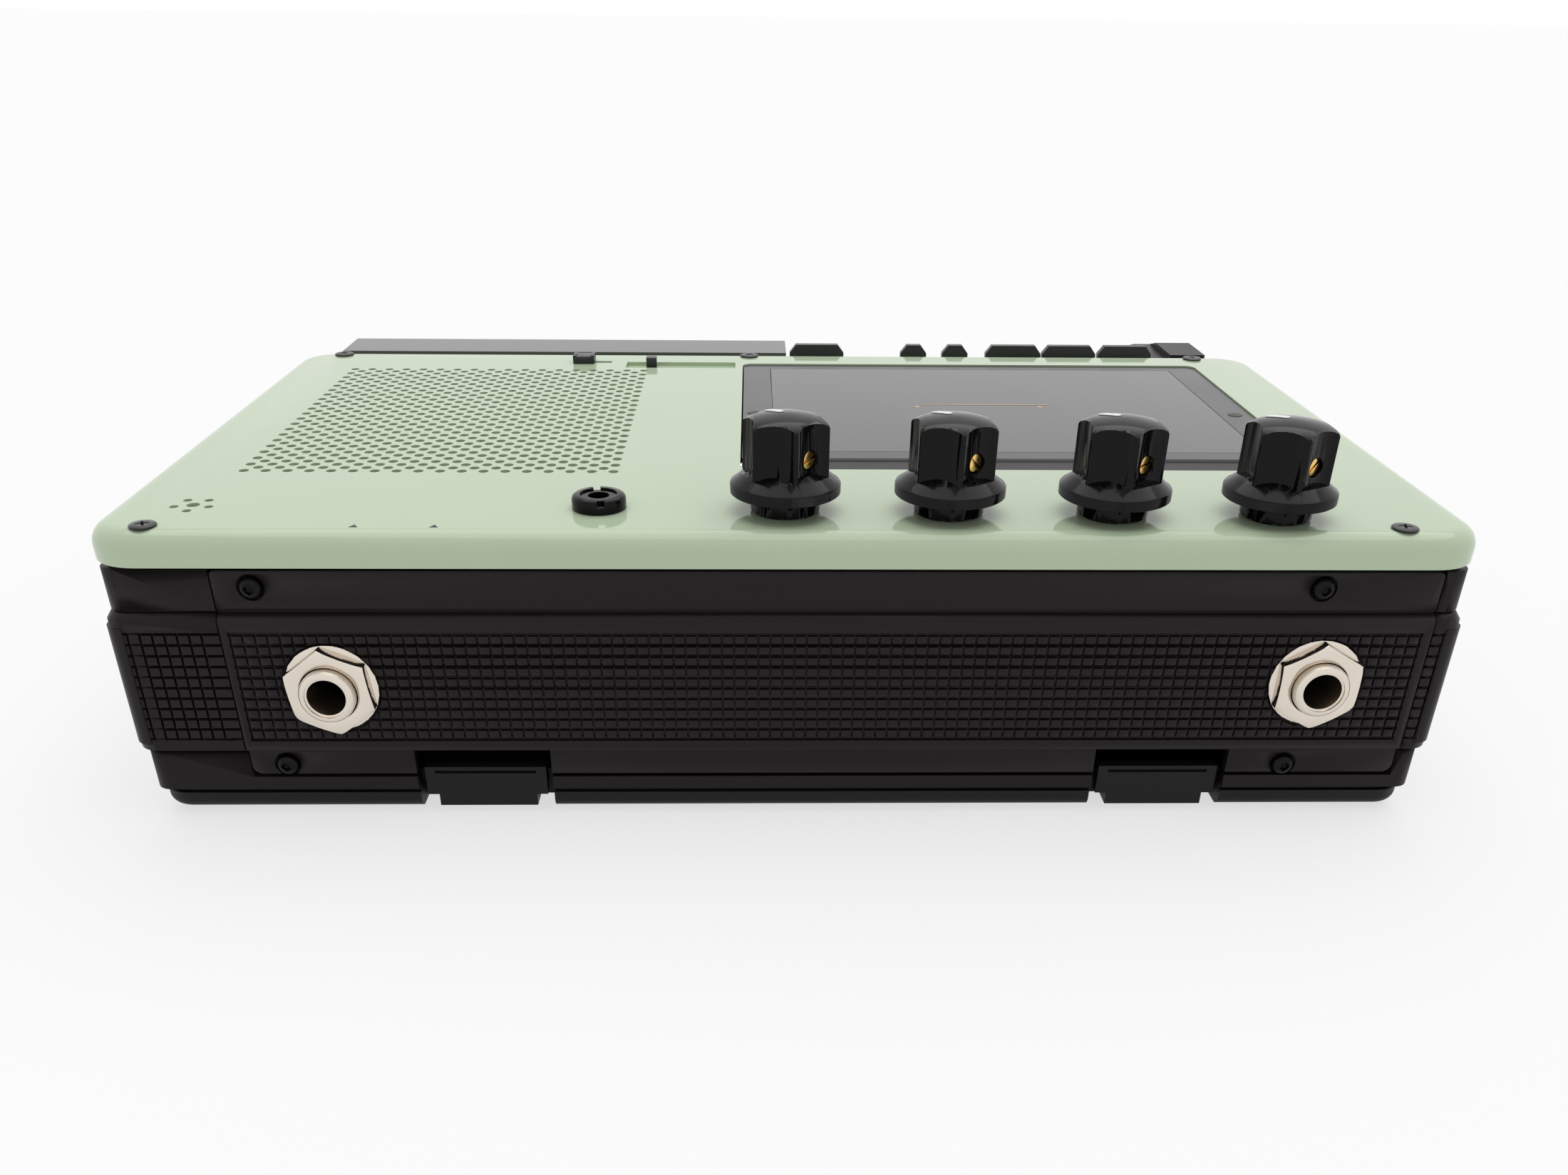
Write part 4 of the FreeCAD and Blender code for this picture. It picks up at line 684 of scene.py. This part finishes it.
# %% Merged copy of the case
case = twin(frame["nodes"]["main_case"], "waffle_case")
take_up(case)
bpy.ops.object.mode_set(mode="EDIT")
bpy.ops.mesh.select_all(action="SELECT")
bpy.ops.mesh.remove_doubles(threshold=0.000005)
turn_normals_out()
print("case corners after merging:", len(case.data.vertices))

# %% Upright grooves and plain corners
CASE_PITCH = 2.04
ALONG_X, ALONG_Y = (CASE_PITCH, 0, 0), (0, CASE_PITCH, 0)
CASE_BARS = [("near_left", (-110.9, -81, LOW), (-110.5, UPRIGHT_BACK, HIGH), ALONG_X, 7),
             ("near_right", (110.9, -81, LOW), (111.3, UPRIGHT_BACK, HIGH), ALONG_X, 1),
             ("left_end", (-116, -75.2, LOW), (-114.12, -74.8, HIGH), ALONG_Y, 73),
             ("right_end", (114.12, -75.2, LOW), (116, -74.8, HIGH), ALONG_Y, 73),
             ("key_side", (-102.2, 83.32, LOW), (-101.8, 85, HIGH), ALONG_X, 101)]
case_tools = [row_of(block(name, low, high), step, count) for name, low, high, step, count in CASE_BARS]
carve(case, join("case_uprights", case_tools))
for side in (-1, 1):
    ends = sorted((side * 114.72, side * 111.4))
    corner = block("smooth_corner", (ends[0], -80.32, 15.0), (ends[1], -76.4, 36.8))
    round_edges(corner, lambda a, b: upright(a, b) and abs(a.x) > 114 and a.y < -80, 3.0, 8)
    carve(case, corner, "UNION")
smooth(case, 28)
dress(case, "case_plastic", "deck", "main_case")
print("case faces:", len(case.data.polygons))

# %% [markdown]
# Screws
#
# The panel screws have flat heads with a cross recess. The screws of the plate are round button
# heads with a small pit, and they stand in shallow seats. The door has two small slotted screws.
# One of each is modelled and copied.


# %% Panel screws
def cross(name, reach, half, low, high):
    """Two crossed bars that cut the recess for a screwdriver."""
    bar = block(name, (-reach, -half, low), (reach, half, high))
    return carve(bar, block(name + "_arm", (-half, -reach, low), (half, reach, high)), "UNION")


SCREW_TURNS = (24, -18, 40, 8, 62)
FLAT_RINGS = [(1.45, -3.0), (1.45, 0.0), (2.1, 0.0), (2.2, 0.1), (2.2, 0.3), (2.05, 0.42), (1.3, 0.5)]
flat_screw = stack("flat_screw", FLAT_RINGS, sides=48)
carve(flat_screw, cross("flat_cross", 1.1, 0.2, 0.05, 1))
soften(flat_screw, 0.06, angle=40)
flat_heads = [twin(flat_screw, "panel_head_%d" % i, (x, y, PANEL_TOP), SCREW_TURNS[i])
              for i, (x, y) in enumerate(PANEL_SCREWS)]
panel_heads = join("panel_heads", flat_heads)
dress(panel_heads, "screw_steel", "deck", "case_screws")
throw_away(flat_screw)
print("panel screws:", len(panel_heads.data.polygons), "faces")

# %% Plate screws
BUTTON_RINGS = [(1.45, -2.0), (1.45, -0.3), (1.88, -0.3), (1.93, 0.1), (1.86, 0.5), (1.68, 0.85),
                (1.38, 1.12), (1.05, 1.25), (0.85, 1.27)]
button = stack("button_screw", BUTTON_RINGS, sides=48)
carve(button, drum("button_pit", (0, 0, 1.2), 0.8, 1.3, sides=32))
carve(button, cross("button_cross", 0.95, 0.16, 0.35, 2))
soften(button, 0.06, angle=40)
face_near(button)
button_heads = [twin(button, "plate_head_%d" % i, (x, -79.0, z)) for i, (x, z) in enumerate(PLATE_SCREWS)]
plate_heads = join("plate_heads", button_heads)
dress(plate_heads, "black_gloss", "deck")
throw_away(button)
print("plate screws:", len(plate_heads.data.polygons), "faces")

# %% Door screws
DOOR_TOP = 52.9
DOOR_SCREWS = [("door_head_a", (-6.05, -3.7, DOOR_TOP), 30), ("door_head_b", (96.15, -3.7, DOOR_TOP), -20)]
SMALL_RINGS = [(1.0, -2.4), (1.0, -0.05), (1.6, -0.05), (1.6, 0.04), (1.45, 0.13), (0.7, 0.17)]
small_screw = stack("door_screw_model", SMALL_RINGS, sides=36)
carve(small_screw, block("small_slot", (-0.9, -0.14, 0.0), (0.9, 0.14, 1)))
soften(small_screw, 0.03, angle=40)
door_heads = join("door_heads", [twin(small_screw, name, place, turn) for name, place, turn in DOOR_SCREWS])
dress(door_heads, "screw_steel", "cassette_door", "door_screws")
throw_away(small_screw)
print("door screws:", len(door_heads.data.polygons), "faces")

# %% [markdown]
# The quarter inch jacks
#
# A thin washer, a chamfered hexagon nut, and a bushing with a rolled lip and a body behind the
# plate. The nut is a six-sided bar met with a turned form, so its corners get the rounded chamfer
# of a real nut. The two nuts stopped at different angles when they were tightened.

# %% Washer and nut
NUT_FLAT = 13.8
WASHER_RINGS = [(5.0, 0.0), (7.75, 0.0), (8.0, 0.12), (8.0, 0.5), (7.85, 0.6), (5.0, 0.6)]
NUT_RINGS = [(6.0, 0.5), (7.7, 0.55), (8.0, 0.8), (8.0, 2.35), (7.55, 2.65), (6.7, 2.93)]
nut_model = drum("nut_model", (0, 0, 1.75), NUT_FLAT / math.sqrt(3), 2.3, sides=6)
carve(nut_model, stack("nut_turn", NUT_RINGS), "INTERSECT")
carve(nut_model, drum("nut_bore", (0, 0, 2), 4.95, 6, sides=64))
soften(nut_model, 0.1, angle=30)
washer_model = stack("washer_model", WASHER_RINGS)
carve(washer_model, drum("washer_bore", (0, 0, 0), 4.95, 6, sides=64))
soften(washer_model, 0.05, angle=40)
print("nut and washer:", len(nut_model.data.polygons), "and", len(washer_model.data.polygons), "faces")

# %% Bushing with its body
THREADS, THREAD_FIRST, THREAD_PITCH = 4, 3.05, 0.34
BUSHING_RINGS = [(4.75, -2.6), (4.75, 3.9), (4.6, 4.2), (4.35, 4.42), (3.95, 4.6), (3.55, 4.6)]
bushing_model = stack("bushing_model", BUSHING_RINGS)
jack_block = block("jack_block", (-7.5, -7.5, -26.2), (7.5, 7.5, -2.2))
round_edges(jack_block, upright, 1.2, 4)
carve(bushing_model, jack_block, "UNION")
carve(bushing_model, drum("bushing_bore", (0, 0, -10), 3.27, 37.6, sides=64))
carve(bushing_model, drum("bushing_step", (0, 0, 4.6), 3.62, 0.9, sides=64))
for thread in range(THREADS):
    groove = drum("thread", (0, 0, THREAD_FIRST + THREAD_PITCH * thread), 5.4, 0.12, sides=64)
    carve(groove, drum("thread_core", (0, 0, 3), 4.64, 6, sides=64))
    carve(bushing_model, groove)
soften(bushing_model, 0.05, angle=40)
print("bushing:", len(bushing_model.data.polygons), "faces")

# %% Two jacks on the plate
NUT_TURNS = (0, 7)
new_washers, new_nuts = [], []
for (x, z), name, nut_turn in zip(JACKS, ("input", "output"), NUT_TURNS):
    place = (x, PLATE_FACE, z)
    new_washers.append(face_near(twin(washer_model, name + "_washer"), place))
    new_nuts.append(face_near(twin(nut_model, name + "_nut", turn=nut_turn), place))
    bushing = face_near(twin(bushing_model, name + "_bushing"), place)
    dress(bushing, "jack_metal", "deck", name + "_jack")
dress(join("turned_washers", new_washers), "jack_metal", "deck", "jack_washers")
dress(join("hexagon_nuts", new_nuts), "jack_metal", "deck", "jack_nuts")
throw_away(nut_model, washer_model, bushing_model)
print("jacks made:", len(JACKS))

# %% Control jack nut
SLOTTED_NUT_RINGS = [(4.3, 53.22), (4.6, 53.35), (4.6, 54.9), (4.45, 55.3), (4.1, 55.55), (3.3, 55.6)]
ring_nut = stack("slotted_nut", SLOTTED_NUT_RINGS)
carve(ring_nut, drum("ring_bore", (0, 0, 54), 3.12, 8, sides=64))
carve(ring_nut, block("ring_slot_a", (2.6, -0.6, 54.6), (6, 0.6, 57)))
carve(ring_nut, block("ring_slot_b", (-6, -0.6, 54.6), (-2.6, 0.6, 57)))
soften(ring_nut, 0.1, angle=35)
ring_nut.rotation_euler = (0, 0, math.radians(100))
ring_nut.location = Vector((*CONTROL_JACK, 0)) * MM
settle(ring_nut)
dress(ring_nut, "black_gloss", "deck", "cv_jack_nut")
print("slotted nut:", len(ring_nut.data.polygons), "faces")

# %% [markdown]
# Slide switches
#
# The first cap is a wide block with a shallow dish across its top. The second one is narrow and
# runs in the long slot, inside its recess. Each has a stem that goes down through the panel.

# %% Switch caps
cap_one = block("cap_block_one", (-49.1, 38.8, 53.3), (-44.1, 43.2, 55.1))
carve(cap_one, block("cap_stem_one", (-48.9, 40.4, 50.6), (-44.3, 41.6, 53.6)), "UNION")
carve(cap_one, block("cap_dish_one", (-48.2, 37, 54.85), (-45.0, 45, 56)))
soften(cap_one, 0.18, angle=40)
dress(cap_one, "key_plastic", "switch_cap_1", "switch_slider_1")
cap_two = block("cap_block_two", (-31.6, 36.8, 52.5), (-29.2, 39.2, 55.1))
carve(cap_two, block("cap_stem_two", (-31.4, 37.4, 50.6), (-29.4, 38.6, 53.6)), "UNION")
soften(cap_two, 0.2, angle=40)
dress(cap_two, "key_plastic", "switch_cap_2", "switch_slider_2")
print("switch caps:", len(cap_one.data.polygons), "and", len(cap_two.data.polygons), "faces")

# %% [markdown]
# The nose of the door
#
# The door turns about a pin near its near edge, and its frame ends there in a round nose that
# keeps the same small gap to the hinge cover at every angle. The nose is a bar about the pin, cut
# flush with the top of the door and cut away behind and below.

# %% Door nose
DOOR_AXIS = (45.4, -34.3, 50.2)
ALONG_HINGE = (0, 90, 0)
nose = drum("door_nose", DOOR_AXIS, 3.45, 107.6, sides=80, lean=ALONG_HINGE)
carve(nose, block("nose_top", (-10, -40, 52.88), (101, -30, 56)))
carve(nose, block("nose_far", (-10, -34.0, 44), (101, -29, 56)))
carve(nose, block("nose_low", (-10, -40, 44), (101, -30, 48.6)))
carve(nose, drum("nose_bore", DOOR_AXIS, 1.15, 120, sides=32, lean=ALONG_HINGE))
smooth(nose, 30)
dress(nose, "case_plastic", "cassette_door", paint=door_black)
print("nose faces:", len(nose.data.polygons))

# %% [markdown]
# Printed marks
#
# The prints are thin raised marks: a gold line with two arrow heads on the window, and two arrow
# heads on the panel. They stand a few hundredths of a millimetre proud of what carries them.


# %% Printed marks
def arrow_head(name, place, radius):
    """A three-cornered print, extruded a hair's breadth."""
    clear_selection()
    bpy.ops.mesh.primitive_circle_add(vertices=3, radius=radius * MM, fill_type="NGON",
                                      location=[v * MM for v in place])
    mark = bpy.context.object
    mark.name = name
    settle(mark)
    bpy.ops.object.mode_set(mode="EDIT")
    bpy.ops.mesh.select_all(action="SELECT")
    bpy.ops.mesh.extrude_region_move(TRANSFORM_OT_translate={"value": (0, 0, 0.05 * MM)})
    turn_normals_out()
    return mark


WINDOW_PRINT, PANEL_PRINT = 52.88, 53.18
line = block("gold_line", (30, 3.42, WINDOW_PRINT), (58, 3.78, 52.95))
round_edges(line, lambda a, b: abs(a.z - b.z) > 0.02 and abs(a.x - b.x) < 0.1, 0.17, 3)
window_marks = join("window_print", [line, arrow_head("window_arrow_a", (28.9, 1.6, WINDOW_PRINT), 0.9),
                                     arrow_head("window_arrow_b", (55.5, 2.0, WINDOW_PRINT), 0.9)])
dress(window_marks, "brass", "cassette_door", paint=gold_print)
panel_marks = join("panel_print", [arrow_head("panel_arrow_a", (-71.4, -76.5, PANEL_PRINT), 0.85),
                                   arrow_head("panel_arrow_b", (-58.4, -76.5, PANEL_PRINT), 0.85)])
dress(panel_marks, "black_gloss", "deck")
print("prints:", len(window_marks.data.polygons), "and", len(panel_marks.data.polygons), "faces")
